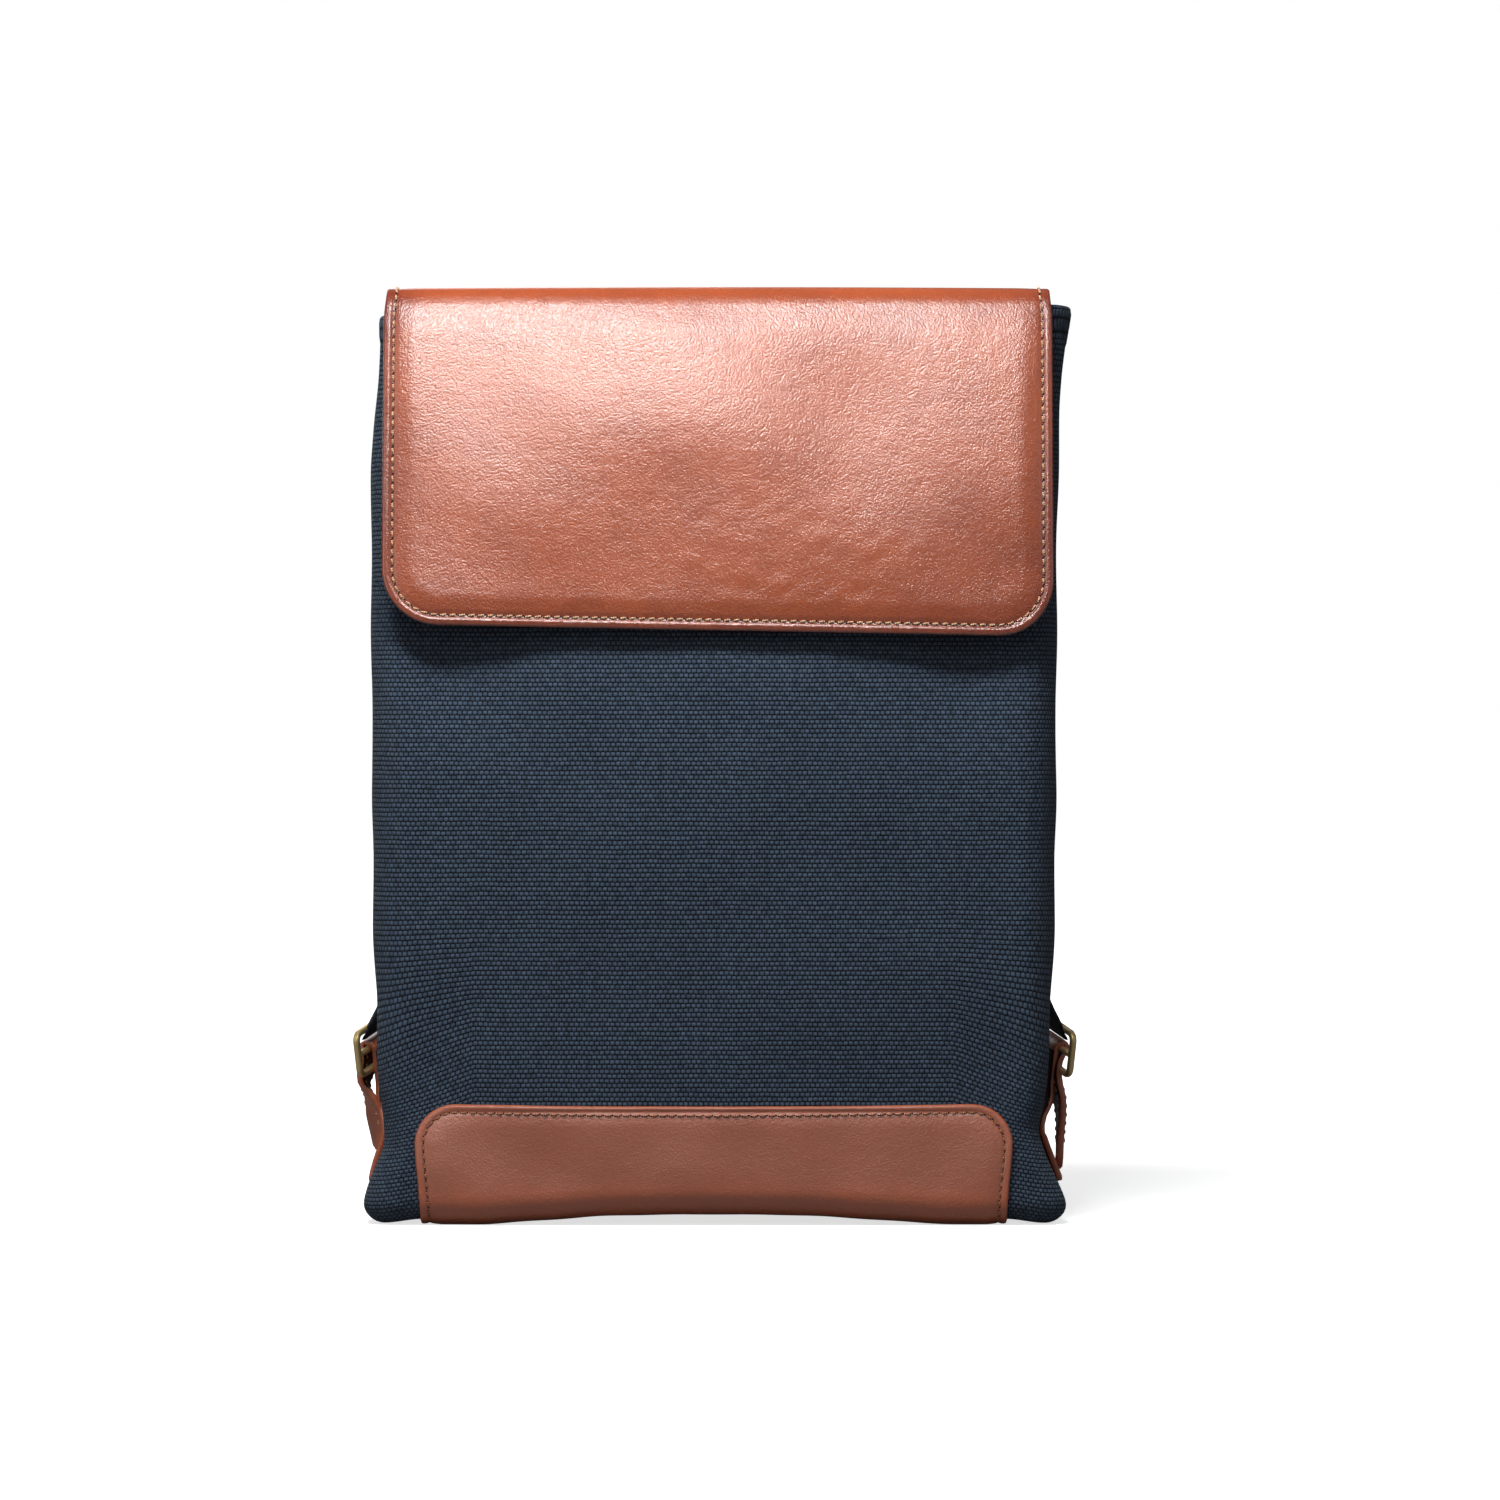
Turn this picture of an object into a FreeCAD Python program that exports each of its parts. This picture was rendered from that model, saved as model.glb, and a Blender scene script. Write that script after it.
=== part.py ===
"""Slim flap-top backpack in canvas and leather, built as a parametric assembly.

Frame: +Z up, the bag stands on z = 0, its front faces -Y, and +X is to the
right of someone looking at the front.  All sizes are millimetres.
"""

import FreeCAD
import Part
import Sketcher
import math
import os

Vector = FreeCAD.Vector

# ---------------------------------------------------------------- dimensions
SIZES = {
    "bag_height": 395.0,       # floor to the canvas mouth
    "body_width": 290.0,
    "base_depth": 84.0,
    "mouth_depth": 50.0,
    "canvas": 1.8,             # thickness of the heavy canvas
    "leather": 2.2,
    "foam": 6.0,               # back padding
    "lining": 0.6,
    "lining_gap": 1.6,         # between the front canvas and its lining
    "facing": 1.2,
    "facing_height": 27.0,
    "board": 2.5,              # base stiffener
    "board_inset": 3.0,
    "sleeve_gap": 22.0,        # room for a laptop behind the divider
    "divider": 4.0,
    "divider_height": 265.0,
    "pocket": 1.2,
    "pocket_width": 180.0,
    "pocket_low": 100.0,
    "pocket_high": 235.0,
    "flap_width": 291.0,
    "flap_drop": 150.0,        # fold line to the lower edge
    "flap_corner": 24.0,
    "flap_top": 409.0,         # highest face of the crown
    "flap_stiffener": 1.2,
    "flap_lining": 0.8,
    "flap_rest_gap": 1.0,      # air between the closed flap and the canvas
    "fold_clear": 1.5,         # from a fold line to the next panel's edge
    "yoke_drop": 60.0,         # flap leather sewn down the back
    "magnet_radius": 7.0,
    "magnet": 1.2,
    "magnet_spread": 60.0,
    "magnet_drop": 128.0,
    "patch_width": 257.0,
    "patch_height": 52.0,
    "patch_corner": 17.0,
    "corner_patch_side": 18.0,
    "corner_patch_back": 26.0,
    "corner_patch_low": 4.0,
    "corner_patch_height": 30.0,
    "loop_width": 76.0,        # haul loop
    "loop_drop": 35.0,
    "loop_strip": 16.0,
    "loop_corner": 14.0,
    "loop_standoff": 2.4,
    "strap_width": 25.0,       # leather adjuster strap
    "strap_fit": 0.3,          # leather to metal
    "slide_out": 154.0,        # centre of the slide's middle bar
    "slide_back": 43.0,
    "slide_height": 73.0,
    "slide_yaw": 22.0,         # turned round the bag's rear corner
    "slide_roll": 14.0,
    "slide_length": 33.0,
    "slide_tall": 22.0,
    "slide_bar": 3.0,
    "slide_corner": 5.0,
    "tail_length": 52.0,
    "lower_strap_length": 55.0,
    "shoulder_top_x": 68.0,
    "shoulder_top_width": 50.0,
    "shoulder_end_width": 30.0,
    "shoulder_pad": 6.0,
    "shoulder_face": 2.0,
    "shoulder_standoff": 1.2,  # from the back panel
    "end_tab": 3.6,            # two plies of webbing
    "tab_bow": 14.0,           # the tab stands off the bag's rear corner
}

doc = FreeCAD.newDocument("backpack")
sheet = doc.addObject("Spreadsheet::Sheet", "Sizes")
for row, (alias, value) in enumerate(SIZES.items(), start=1):
    sheet.set("A%d" % row, alias)
    sheet.set("B%d" % row, str(value))
    sheet.setAlias("B%d" % row, alias)
doc.recompute()

PARTS = []


def size(alias):
    """Current value of a driving dimension."""
    return float(sheet.get(alias))


def sized(expression):
    """Expression with every driving dimension taken from the sheet."""
    for alias in sorted(SIZES, key=len, reverse=True):
        expression = expression.replace("$" + alias, "Sizes." + alias)
    return expression


# The side profile: depth at the mouth, and the lean of the front.
PANEL_FOOT = "$leather"
BACK = "$base_depth / 2"
FRONT_FOOT = "-$base_depth / 2"
FRONT_TOP = "($base_depth / 2 - $mouth_depth)"
LEAN = "($base_depth - $mouth_depth) / ($bag_height - $leather)"


def front_at(height, inward="0"):
    """Expression for the front face's y at a height, moved in by a distance."""
    return "(%s + %s * (%s - $leather) + %s)" % (FRONT_FOOT, LEAN, height, inward)


# ------------------------------------------------------------------- helpers
def new_body(label):
    """A named body that is written out as one sub-part."""
    body = doc.addObject("PartDesign::Body", label)
    body.Label = label
    PARTS.append(body)
    return body


def origin_plane(body, role):
    """One of the body's own base planes."""
    return [item for item in body.Origin.OriginFeatures if item.Role == role][0]


def outline(body, role, name, corners):
    """Closed straight-sided sketch; each corner is a pair of expressions."""
    sketch = body.newObject("Sketcher::SketchObject", name)
    sketch.AttachmentSupport = [(origin_plane(body, role), "")]
    sketch.MapMode = "FlatFace"
    places = []
    for corner in corners:
        values = [float(sheet.evalExpression(sized(item))) for item in corner]
        places.append(Vector(values[0], values[1], 0))
    count = len(corners)
    for index in range(count):
        sketch.addGeometry(Part.LineSegment(places[index], places[(index + 1) % count]))
    for index in range(count):
        sketch.addConstraint(
            Sketcher.Constraint("Coincident", index, 2, (index + 1) % count, 1))
    for index, corner in enumerate(corners):
        for kind, item, value in (("DistanceX", corner[0], places[index].x),
                                  ("DistanceY", corner[1], places[index].y)):
            number = sketch.addConstraint(Sketcher.Constraint(kind, -1, 1, index, 1, value))
            sketch.setExpression("Constraints[%d]" % number, sized(item))
    return sketch


def pad(body, sketch, length, symmetric=False):
    """Solid made by pushing a sketch out by a distance."""
    feature = body.newObject("PartDesign::Pad", body.Name + "_pad")
    feature.Profile = sketch
    feature.SideType = "Symmetric" if symmetric else "One side"
    feature.setExpression("Length", sized(length))
    doc.recompute()
    return feature


def pocket(body, sketch, length, name):
    """Symmetric cut; stops if nothing was removed."""
    before = body.Shape.Volume
    feature = body.newObject("PartDesign::Pocket", name)
    feature.Profile = sketch
    feature.SideType = "Symmetric"
    feature.setExpression("Length", sized(length))
    doc.recompute()
    if not body.Shape.Volume < before:
        raise RuntimeError(body.Label + ": the pocket cut nothing")
    return feature


def round_off(body, name, radius, wanted):
    """Fillet on the edges of the body that a test picks out."""
    tip = body.Tip
    edges = []
    for number, edge in enumerate(tip.Shape.Edges, start=1):
        if wanted(edge):
            edges.append("Edge%d" % number)
    if not edges:
        raise RuntimeError(body.Label + ": no edge to round")
    feature = body.newObject("PartDesign::Fillet", name)
    feature.Base = (tip, edges)
    feature.setExpression("Radius", sized(radius))
    doc.recompute()
    return feature


def runs_along(edge, axis):
    """True for a straight edge parallel to an axis."""
    if len(edge.Vertexes) != 2 or edge.Curve.TypeId != "Part::GeomLine":
        return False
    direction = edge.Vertexes[1].Point.sub(edge.Vertexes[0].Point).normalize()
    return abs(direction.dot(axis)) > 0.999


def place(body, x="0", y="0", z="0"):
    """Position bound to the driving dimensions."""
    for axis, item in (("x", x), ("y", y), ("z", z)):
        body.setExpression("Placement.Base." + axis, sized(item))
    doc.recompute()


def slab(label, profile, width, role="YZ_Plane", symmetric=True):
    """Panel made from a side profile, pushed out across the bag."""
    body = new_body(label)
    sketch = outline(body, role, label + "_outline", profile)
    pad(body, sketch, width, symmetric)
    return body


def rectangle(low_a, high_a, low_b, high_b):
    """Corners of a rectangle from four expressions."""
    return [(low_a, low_b), (high_a, low_b), (high_a, high_b), (low_a, high_b)]


def free_shape(label, shape):
    """Sub-part whose shape is worked out directly."""
    feature = doc.addObject("Part::Feature", label)
    feature.Label = label
    feature.Shape = shape
    PARTS.append(feature)
    return feature


X_AXIS = Vector(1, 0, 0)
Y_AXIS = Vector(0, 1, 0)
Z_AXIS = Vector(0, 0, 1)
SIDES = (("left", -1), ("right", 1))


# ------------------------------------------------------------- canvas body
INNER_WIDTH = "$body_width - 2 * $canvas"
BOARD_TOP = "($leather + $canvas + $board)"
PAD_FRONT = "(%s - $canvas - $foam)" % BACK
FACING_FOOT = "($bag_height - $facing_height)"


def canvas_panels():
    """Front, sides, back and base of the canvas shell."""
    slab("front_panel", [
        (FRONT_FOOT, PANEL_FOOT),
        (FRONT_FOOT + " + $canvas", PANEL_FOOT),
        (FRONT_TOP + " + $canvas", "$bag_height"),
        (FRONT_TOP, "$bag_height")], INNER_WIDTH)
    slab("back_panel", rectangle(
        BACK + " - $canvas", BACK, PANEL_FOOT, "$bag_height"), INNER_WIDTH)
    top = "$leather + $canvas"
    slab("base_panel", [
        (FRONT_FOOT + " + $canvas", PANEL_FOOT), (BACK + " - $canvas", PANEL_FOOT),
        (BACK + " - $canvas", top), (front_at(top, "$canvas"), top)], INNER_WIDTH)
    side = [(FRONT_FOOT, PANEL_FOOT), (BACK, PANEL_FOOT),
            (BACK, "$bag_height"), (FRONT_TOP, "$bag_height")]
    for name, hand in SIDES:
        body = slab("gusset_" + name, side, "$canvas", symmetric=False)
        place(body, x="$body_width / 2 - $canvas" if hand > 0 else "-$body_width / 2")


def inner_pieces():
    """Padding, stiffener, lining, mouth facing, laptop divider and pocket."""
    slab("back_padding", rectangle(
        PAD_FRONT, BACK + " - $canvas", BOARD_TOP, "$bag_height - 10"),
        INNER_WIDTH + " - 4")
    slab("base_board", rectangle(
        FRONT_FOOT + " + $canvas + $board_inset", PAD_FRONT,
        "$leather + $canvas", BOARD_TOP), INNER_WIDTH + " - 2 * $board_inset")

    gap = "$canvas + $lining_gap"
    lining = slab("lining", [
        (front_at(BOARD_TOP, gap), BOARD_TOP), (PAD_FRONT, BOARD_TOP),
        (PAD_FRONT, FACING_FOOT), (front_at(FACING_FOOT, gap), FACING_FOOT)],
        INNER_WIDTH)
    foot = BOARD_TOP + " + $lining"
    deep = gap + " + $lining"
    hollow = outline(lining, "YZ_Plane", "lining_hollow", [
        (front_at(foot, deep), foot), (PAD_FRONT + " - $lining", foot),
        (PAD_FRONT + " - $lining", "$bag_height"),
        (front_at("$bag_height", deep), "$bag_height")])
    pocket(lining, hollow, INNER_WIDTH + " - 2 * $lining", "lining_inside")

    facing = slab("mouth_facing", [
        (front_at(FACING_FOOT, gap), FACING_FOOT), (PAD_FRONT, FACING_FOOT),
        (PAD_FRONT, "$bag_height"), (front_at("$bag_height", gap), "$bag_height")],
        INNER_WIDTH)
    deep = gap + " + $facing"
    low = FACING_FOOT + " - 5"
    high = "$bag_height + 5"
    hollow = outline(facing, "YZ_Plane", "facing_hollow", [
        (front_at(low, deep), low), (PAD_FRONT + " - $facing", low),
        (PAD_FRONT + " - $facing", high), (front_at(high, deep), high)])
    pocket(facing, hollow, INNER_WIDTH + " - 2 * $facing", "facing_inside")

    divider_back = "(%s - $lining - $sleeve_gap)" % PAD_FRONT
    divider_front = "(%s - $divider)" % divider_back
    slab("laptop_divider", rectangle(
        divider_front, divider_back, BOARD_TOP + " + $lining", "$divider_height"),
        INNER_WIDTH + " - 2 * $lining")
    slab("slip_pocket", rectangle(
        divider_front + " - $pocket", divider_front, "$pocket_low", "$pocket_high"),
        "$pocket_width")


def base_leather():
    """Leather patch on the foot of the front, wrapped under the base."""
    rise = "$patch_height"
    body = slab("base_patch", [
        (front_at("0", "-$leather"), "0"), (BACK, "0"), (BACK, "$leather"),
        (front_at("$leather"), "$leather"), (front_at(rise), rise),
        (front_at(rise, "-$leather"), rise)], "$patch_width")

    def upper_corner(edge):
        if edge.CenterOfMass.z < size("patch_height") - 0.5:
            return False
        return runs_along(edge, Y_AXIS)

    round_off(body, "patch_corners", "$patch_corner", upper_corner)


def corner_patches():
    """Leather reinforcement round each lower rear corner, where the strap starts."""
    for name, hand in SIDES:
        out = "%d * ($body_width / 2)" % hand
        over = "%d * ($body_width / 2 + $leather)" % hand
        inner = "%d * ($body_width / 2 - $corner_patch_back)" % hand
        body = slab("corner_patch_" + name, [
            (out, BACK + " - $corner_patch_side"), (over, BACK + " - $corner_patch_side"),
            (over, BACK + " + $leather"), (inner, BACK + " + $leather"),
            (inner, BACK), (out, BACK)],
            "$corner_patch_height", role="XY_Plane", symmetric=False)
        place(body, z="$corner_patch_low")


# --------------------------------------------------------------------- flap
CROWN_MIDDLE = "($flap_top - $leather / 2)"
CROWN_BACK = "(%s + $leather / 2)" % BACK
FLAP_STACK = "($flap_rest_gap + $flap_lining + $flap_stiffener + $leather / 2)"
FLAP_FOLD = "(%s - %s - 0.3)" % (front_at(CROWN_MIDDLE), FLAP_STACK)


def flap_top_and_yoke():
    """Part of the flap sewn down the back, and the crown over the mouth."""
    slab("flap_yoke", rectangle(
        BACK, BACK + " + $leather", "$bag_height - $yoke_drop",
        CROWN_MIDDLE + " - $fold_clear"), "$flap_width")
    under = "($flap_top - $leather)"
    slab("flap_crown", rectangle(
        FLAP_FOLD, CROWN_BACK, under, "$flap_top"), "$flap_width")
    slab("flap_crown_lining", rectangle(
        FLAP_FOLD + " + 4", CROWN_BACK + " - 4", under + " - $flap_lining", under),
        "$flap_width - 6")


def lean_back(body):
    """Hang a flap piece from the front fold, leaning with the bag's front."""
    angle = math.atan2(size("base_depth") - size("mouth_depth"),
                       size("bag_height") - size("leather"))
    fold = Vector(0, sheet.evalExpression(sized(FLAP_FOLD)),
                  sheet.evalExpression(sized(CROWN_MIDDLE)))
    turn = FreeCAD.Rotation(X_AXIS, -math.degrees(angle))
    body.Placement = FreeCAD.Placement(fold, turn).multiply(body.Placement)
    doc.recompute()


def bottom_corner(edge):
    """Edge through the thickness at a lower corner of a hanging panel."""
    return runs_along(edge, Y_AXIS) and edge.CenterOfMass.z < -size("flap_drop") / 2


def flap_layer(label, half_width, top, foot, near, far, radius):
    """One layer of the hanging flap between two depths behind the fold line."""
    body = slab(label, rectangle("-(%s)" % half_width, half_width, foot, top),
                "(%s) - (%s)" % (far, near), role="XZ_Plane", symmetric=False)
    round_off(body, label + "_corners", radius, bottom_corner)
    depth = sheet.evalExpression(sized(far))
    body.Placement = FreeCAD.Placement(Vector(0, float(depth), 0), FreeCAD.Rotation())
    return body


def disc(label, radius, near, far, across, drop):
    """Flat round magnet between two depths behind the fold line."""
    body = doc.addObject("Part::Cylinder", label)
    body.Label = label
    body.setExpression("Radius", sized(radius))
    body.setExpression("Height", sized("(%s) - (%s)" % (far, near)))
    at = Vector(across, float(sheet.evalExpression(sized(far))), -drop)
    body.Placement = FreeCAD.Placement(at, FreeCAD.Rotation(X_AXIS, 90))
    doc.recompute()
    PARTS.append(body)
    return body


def flap_front():
    """Hanging front of the flap: leather, stiffener, lining and magnets."""
    half = "$flap_width / 2"
    skin = "$leather / 2"
    core = skin + " + $flap_stiffener"
    inside = core + " + $flap_lining"
    lean_back(flap_layer("flap_front", half, "-$fold_clear", "-$flap_drop",
                         "-" + skin, skin, "$flap_corner"))
    stiffener = flap_layer("flap_stiffener", half + " - 7", "-10", "-$flap_drop + 7",
                           skin, core, "$flap_corner - 6")
    before = stiffener.Shape.Volume
    holes = stiffener.newObject("Sketcher::SketchObject", "magnet_holes")
    holes.AttachmentSupport = [(origin_plane(stiffener, "XZ_Plane"), "")]
    holes.MapMode = "FlatFace"
    for hand in (-1, 1):
        centre = Vector(hand * size("magnet_spread"), -size("magnet_drop"), 0)
        index = holes.addGeometry(Part.Circle(centre, Z_AXIS, size("magnet_radius")))
        radius = holes.addConstraint(
            Sketcher.Constraint("Radius", index, size("magnet_radius")))
        holes.setExpression("Constraints[%d]" % radius, sized("$magnet_radius + 0.05"))
        across = holes.addConstraint(
            Sketcher.Constraint("DistanceX", -1, 1, index, 3, centre.x))
        holes.setExpression("Constraints[%d]" % across, sized("%d * $magnet_spread" % hand))
        down = holes.addConstraint(
            Sketcher.Constraint("DistanceY", -1, 1, index, 3, centre.y))
        holes.setExpression("Constraints[%d]" % down, sized("-$magnet_drop"))
    cut = stiffener.newObject("PartDesign::Pocket", "magnet_pockets")
    cut.Profile = holes
    cut.SideType = "Symmetric"
    cut.Length = 8 * size("flap_stiffener")
    doc.recompute()
    if not stiffener.Shape.Volume < before - 1:
        raise RuntimeError("flap_stiffener: the magnet holes cut nothing")
    lean_back(stiffener)
    lean_back(flap_layer("flap_lining", half + " - 2.5", "-4", "-$flap_drop + 2.5",
                         core, inside, "$flap_corner - 2"))
    canvas_back = inside + " + $flap_rest_gap + $canvas"
    for name, hand in SIDES:
        across = hand * size("magnet_spread")
        drop = size("magnet_drop")
        lean_back(disc("flap_magnet_" + name, "$magnet_radius", skin, core, across, drop))
        lean_back(disc("bag_magnet_" + name, "$magnet_radius", canvas_back + " + 0.35",
                       canvas_back + " + 0.35 + $magnet", across, drop))


# ---------------------------------------------------------------- haul loop
def haul_loop():
    """Leather carrying loop below the yoke, stored hanging flat."""
    half = "$loop_width / 2"
    inner = "($loop_width / 2 - $loop_strip)"
    hinge_z = "($bag_height - $yoke_drop - $fold_clear)"
    body = slab("haul_loop", [
        ("-" + half, "-0.3"), ("-" + half, "-$loop_drop"), (half, "-$loop_drop"),
        (half, "-0.3"), (inner, "-0.3"), (inner, "-$loop_drop + $loop_strip"),
        ("-" + inner, "-$loop_drop + $loop_strip"), ("-" + inner, "-0.3")],
        "$leather", role="XZ_Plane")

    def outer_corner(edge):
        low = edge.CenterOfMass.z < -size("loop_drop") + 1
        return runs_along(edge, Y_AXIS) and low

    def inner_corner(edge):
        middle = -size("loop_drop") + size("loop_strip")
        return runs_along(edge, Y_AXIS) and abs(edge.CenterOfMass.z - middle) < 1

    round_off(body, "loop_outer", "$loop_corner", outer_corner)
    round_off(body, "loop_inner", "$loop_corner / 2", inner_corner)
    place(body, y=BACK + " + $loop_standoff + $leather / 2", z=hinge_z)


# ------------------------------------------------------------------- straps
def slide_placement(hand):
    """Frame of a strap slide: local x points away from the bag, z up."""
    yaw = size("slide_yaw") if hand > 0 else 180 - size("slide_yaw")
    turn = FreeCAD.Rotation(Z_AXIS, yaw)
    roll = FreeCAD.Rotation(X_AXIS, hand * size("slide_roll"))
    centre = Vector(hand * size("slide_out"), size("slide_back"), size("slide_height"))
    return FreeCAD.Placement(centre, turn.multiply(roll))


def slide_frame(name, hand):
    """Brass frame with rounded bars and an open window each side of the bar."""
    half = "$slide_length / 2"
    tall = "$slide_tall / 2"
    body = slab("slide_frame_" + name,
                rectangle("-" + half, half, "-" + tall, tall), "$slide_bar")
    round_off(body, "slide_outer_" + name, "$slide_corner",
              lambda edge: runs_along(edge, X_AXIS))
    inside = outline(body, "YZ_Plane", "slide_window_" + name, rectangle(
        "-(%s - $slide_bar)" % half, half + " - $slide_bar",
        "-(%s - $slide_bar)" % tall, tall + " - $slide_bar"))
    pocket(body, inside, "2 * $slide_bar", "slide_opening_" + name)

    def window_corner(edge):
        near = abs(edge.CenterOfMass.y) < size("slide_length") / 2 - 1
        return runs_along(edge, X_AXIS) and near

    round_off(body, "slide_inner_" + name, "$slide_corner - $slide_bar", window_corner)
    face = size("slide_bar") / 2
    round_off(body, "slide_soft_" + name, "$slide_bar * 0.4",
              lambda edge: abs(abs(edge.CenterOfMass.x) - face) < 0.01)
    body.Placement = slide_placement(hand)


def slide_bar(name, hand):
    """Round bar across the middle of the slide."""
    body = doc.addObject("Part::Cylinder", "slide_bar_" + name)
    body.Label = "slide_bar_" + name
    body.setExpression("Radius", sized("$slide_bar / 2"))
    body.setExpression("Height", sized("$slide_length - 2 * $slide_bar"))
    half = size("slide_length") / 2 - size("slide_bar")
    across = FreeCAD.Placement(Vector(0, half, 0), FreeCAD.Rotation(X_AXIS, 90))
    body.Placement = slide_placement(hand).multiply(across)
    PARTS.append(body)


def lower_strap(name, hand):
    """Leather from the corner patch up behind the slide, bent over its bar."""
    near = size("slide_bar") / 2 + size("strap_fit")
    far = near + size("leather")
    foot = -size("lower_strap_length")
    side = -size("strap_width") / 2
    corner = math.sqrt(0.5)

    def at(outward, height):
        return Vector(outward, side, height)

    edges = [
        Part.LineSegment(at(-near, foot), at(-near, 0)).toShape(),
        Part.Arc(at(-near, 0), at(-near * corner, near * corner), at(0, near)).toShape(),
        Part.LineSegment(at(0, near), at(0, far)).toShape(),
        Part.Arc(at(0, far), at(-far * corner, far * corner), at(-far, 0)).toShape(),
        Part.LineSegment(at(-far, 0), at(-far, foot)).toShape(),
        Part.LineSegment(at(-far, foot), at(-near, foot)).toShape()]
    band = Part.Face(Part.Wire(edges)).extrude(Vector(0, size("strap_width"), 0))
    body = free_shape("lower_strap_" + name, band)
    body.Placement = slide_placement(hand)


def strap_tail(name, hand):
    """Free end of the adjuster strap, hanging outside the slide."""
    near = "($slide_bar / 2 + $strap_fit)"
    body = slab("strap_tail_" + name, rectangle(
        "-$strap_width / 2", "$strap_width / 2", "-$tail_length", "-0.4"),
        "$leather", symmetric=False)
    round_off(body, "tail_tip_" + name, "$strap_width * 0.4",
              lambda edge: runs_along(edge, X_AXIS) and edge.CenterOfMass.z < -1)
    out = FreeCAD.Placement(Vector(sheet.evalExpression(sized(near)), 0, 0),
                            FreeCAD.Rotation())
    body.Placement = slide_placement(hand).multiply(out)


def shoulder_line(hand):
    """Curve down the middle of a shoulder strap, in the plane of the back."""
    top = size("bag_height") - size("yoke_drop") - size("fold_clear")
    line = Part.BezierCurve()
    start = size("shoulder_top_x")
    line.setPoles([Vector(hand * start, 0, top), Vector(hand * (start - 2), 0, top - 85),
                   Vector(hand * (start + 6), 0, top - 155),
                   Vector(hand * (start + 54), 0, top - 210)])
    return line


def shoulder_half_width(along):
    """Half width of the shoulder strap: full at the top, narrow at the end."""
    wide = size("shoulder_top_width") / 2
    narrow = size("shoulder_end_width") / 2
    taper = max(0.0, (along - 0.45) / 0.55)
    return wide + (narrow - wide) * taper * taper * (3 - 2 * taper)


def shoulder_strip(label, hand, depth, thickness, inset):
    """Flat strap-shaped layer whose near face is at a depth behind the bag."""
    line = shoulder_line(hand)
    edges = []
    stations = 9
    for side in (-1, 1):
        points = []
        for index in range(stations):
            along = index / (stations - 1)
            forward = line.tangent(along)[0]
            across = Vector(-forward.z, 0, forward.x)
            reach = side * (shoulder_half_width(along) - inset)
            points.append(line.value(along) + across * reach)
        curve = Part.BSplineCurve()
        curve.interpolate(points)
        edges.append(curve.toShape())
    ends = []
    for vertex in (0, 1):
        ends.append(Part.makeLine(edges[0].Vertexes[vertex].Point,
                                  edges[1].Vertexes[vertex].Point))
    wire = Part.Wire(Part.__sortEdges__([edges[0], ends[1], edges[1], ends[0]]))
    solid = Part.Face(wire).extrude(Vector(0, thickness, 0))
    solid.translate(Vector(0, depth, 0))
    free_shape(label, solid)


def strap_end(name, hand):
    """Webbing tab from the shoulder strap's end, round the slide's top bar."""
    frame = slide_placement(hand)
    width = size("strap_width")
    thick = size("end_tab")
    bar_height = size("slide_tall") / 2 - size("slide_bar") / 2
    near = size("slide_bar") / 2 + size("strap_fit")
    far = near + size("leather")
    start_at = Vector(0, -width / 2, bar_height)
    sleeve = Part.makeCylinder(far, width, start_at, Y_AXIS)
    hole = Part.makeCylinder(near, width, start_at, Y_AXIS)
    sleeve = sleeve.cut(hole)
    sleeve.Placement = frame

    line = shoulder_line(hand)
    end = line.value(1.0)
    end.y = (size("base_depth") / 2 + size("shoulder_standoff")
             + (size("shoulder_pad") + size("shoulder_face")) / 2)
    down = line.tangent(1.0)[0]
    wrap = frame.multVec(Vector(0, 0, bar_height + near + 0.2))
    up = frame.Rotation.multVec(Z_AXIS)
    outward = frame.Rotation.multVec(X_AXIS)
    across = frame.Rotation.multVec(Y_AXIS)
    first = FreeCAD.Rotation(across, outward * -1, up, "ZXY")
    back_up = down * -1
    last = FreeCAD.Rotation(back_up.cross(Y_AXIS), Y_AXIS * -1, back_up, "ZXY")
    path = Part.BezierCurve()
    reach = size("strap_width") / 2
    bow = Vector(0, size("tab_bow"), 0)
    path.setPoles([wrap, wrap + up * reach + bow, end + down * reach + bow, end])
    sections = []
    steps = 8
    for index in range(steps + 1):
        along = index / steps
        turn = first.slerp(last, along)
        at = path.value(along)
        half_w = turn.multVec(X_AXIS) * (width / 2)
        half_t = turn.multVec(Y_AXIS) * (thick / 2)
        corners = [at - half_w - half_t, at + half_w - half_t,
                   at + half_w + half_t, at - half_w + half_t]
        sections.append(Part.makePolygon(corners + corners[:1]))
    band = Part.makeLoft(sections, True, True)
    return free_shape("strap_end_" + name, sleeve.fuse(band))


def straps():
    """Both shoulder straps with their slides, adjuster straps and tails."""
    depth = size("base_depth") / 2 + size("shoulder_standoff")
    for name, hand in SIDES:
        slide_frame(name, hand)
        slide_bar(name, hand)
        lower_strap(name, hand)
        strap_tail(name, hand)
        shoulder_strip("shoulder_pad_" + name, hand, depth, size("shoulder_pad"), 2.0)
        shoulder_strip("shoulder_strap_" + name, hand, depth + size("shoulder_pad"),
                       size("shoulder_face"), 0.0)
        strap_end(name, hand)


def check_and_write():
    """Refuse a failed or invalid piece, then write one STEP file for each."""
    doc.recompute()
    for item in doc.Objects:
        if "Invalid" in item.State or "Error" in item.State:
            raise RuntimeError(item.Label + ": " + str(item.State))
    os.makedirs("parts", exist_ok=True)
    for part in PARTS:
        shape = part.Shape
        if shape.isNull() or not shape.isValid() or not shape.Solids:
            raise RuntimeError(part.Label + ": not a valid solid")
    for part in PARTS:
        part.Shape.exportStep("parts/" + part.Label + ".step")
    print(len(PARTS), "sub-parts written")


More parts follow.
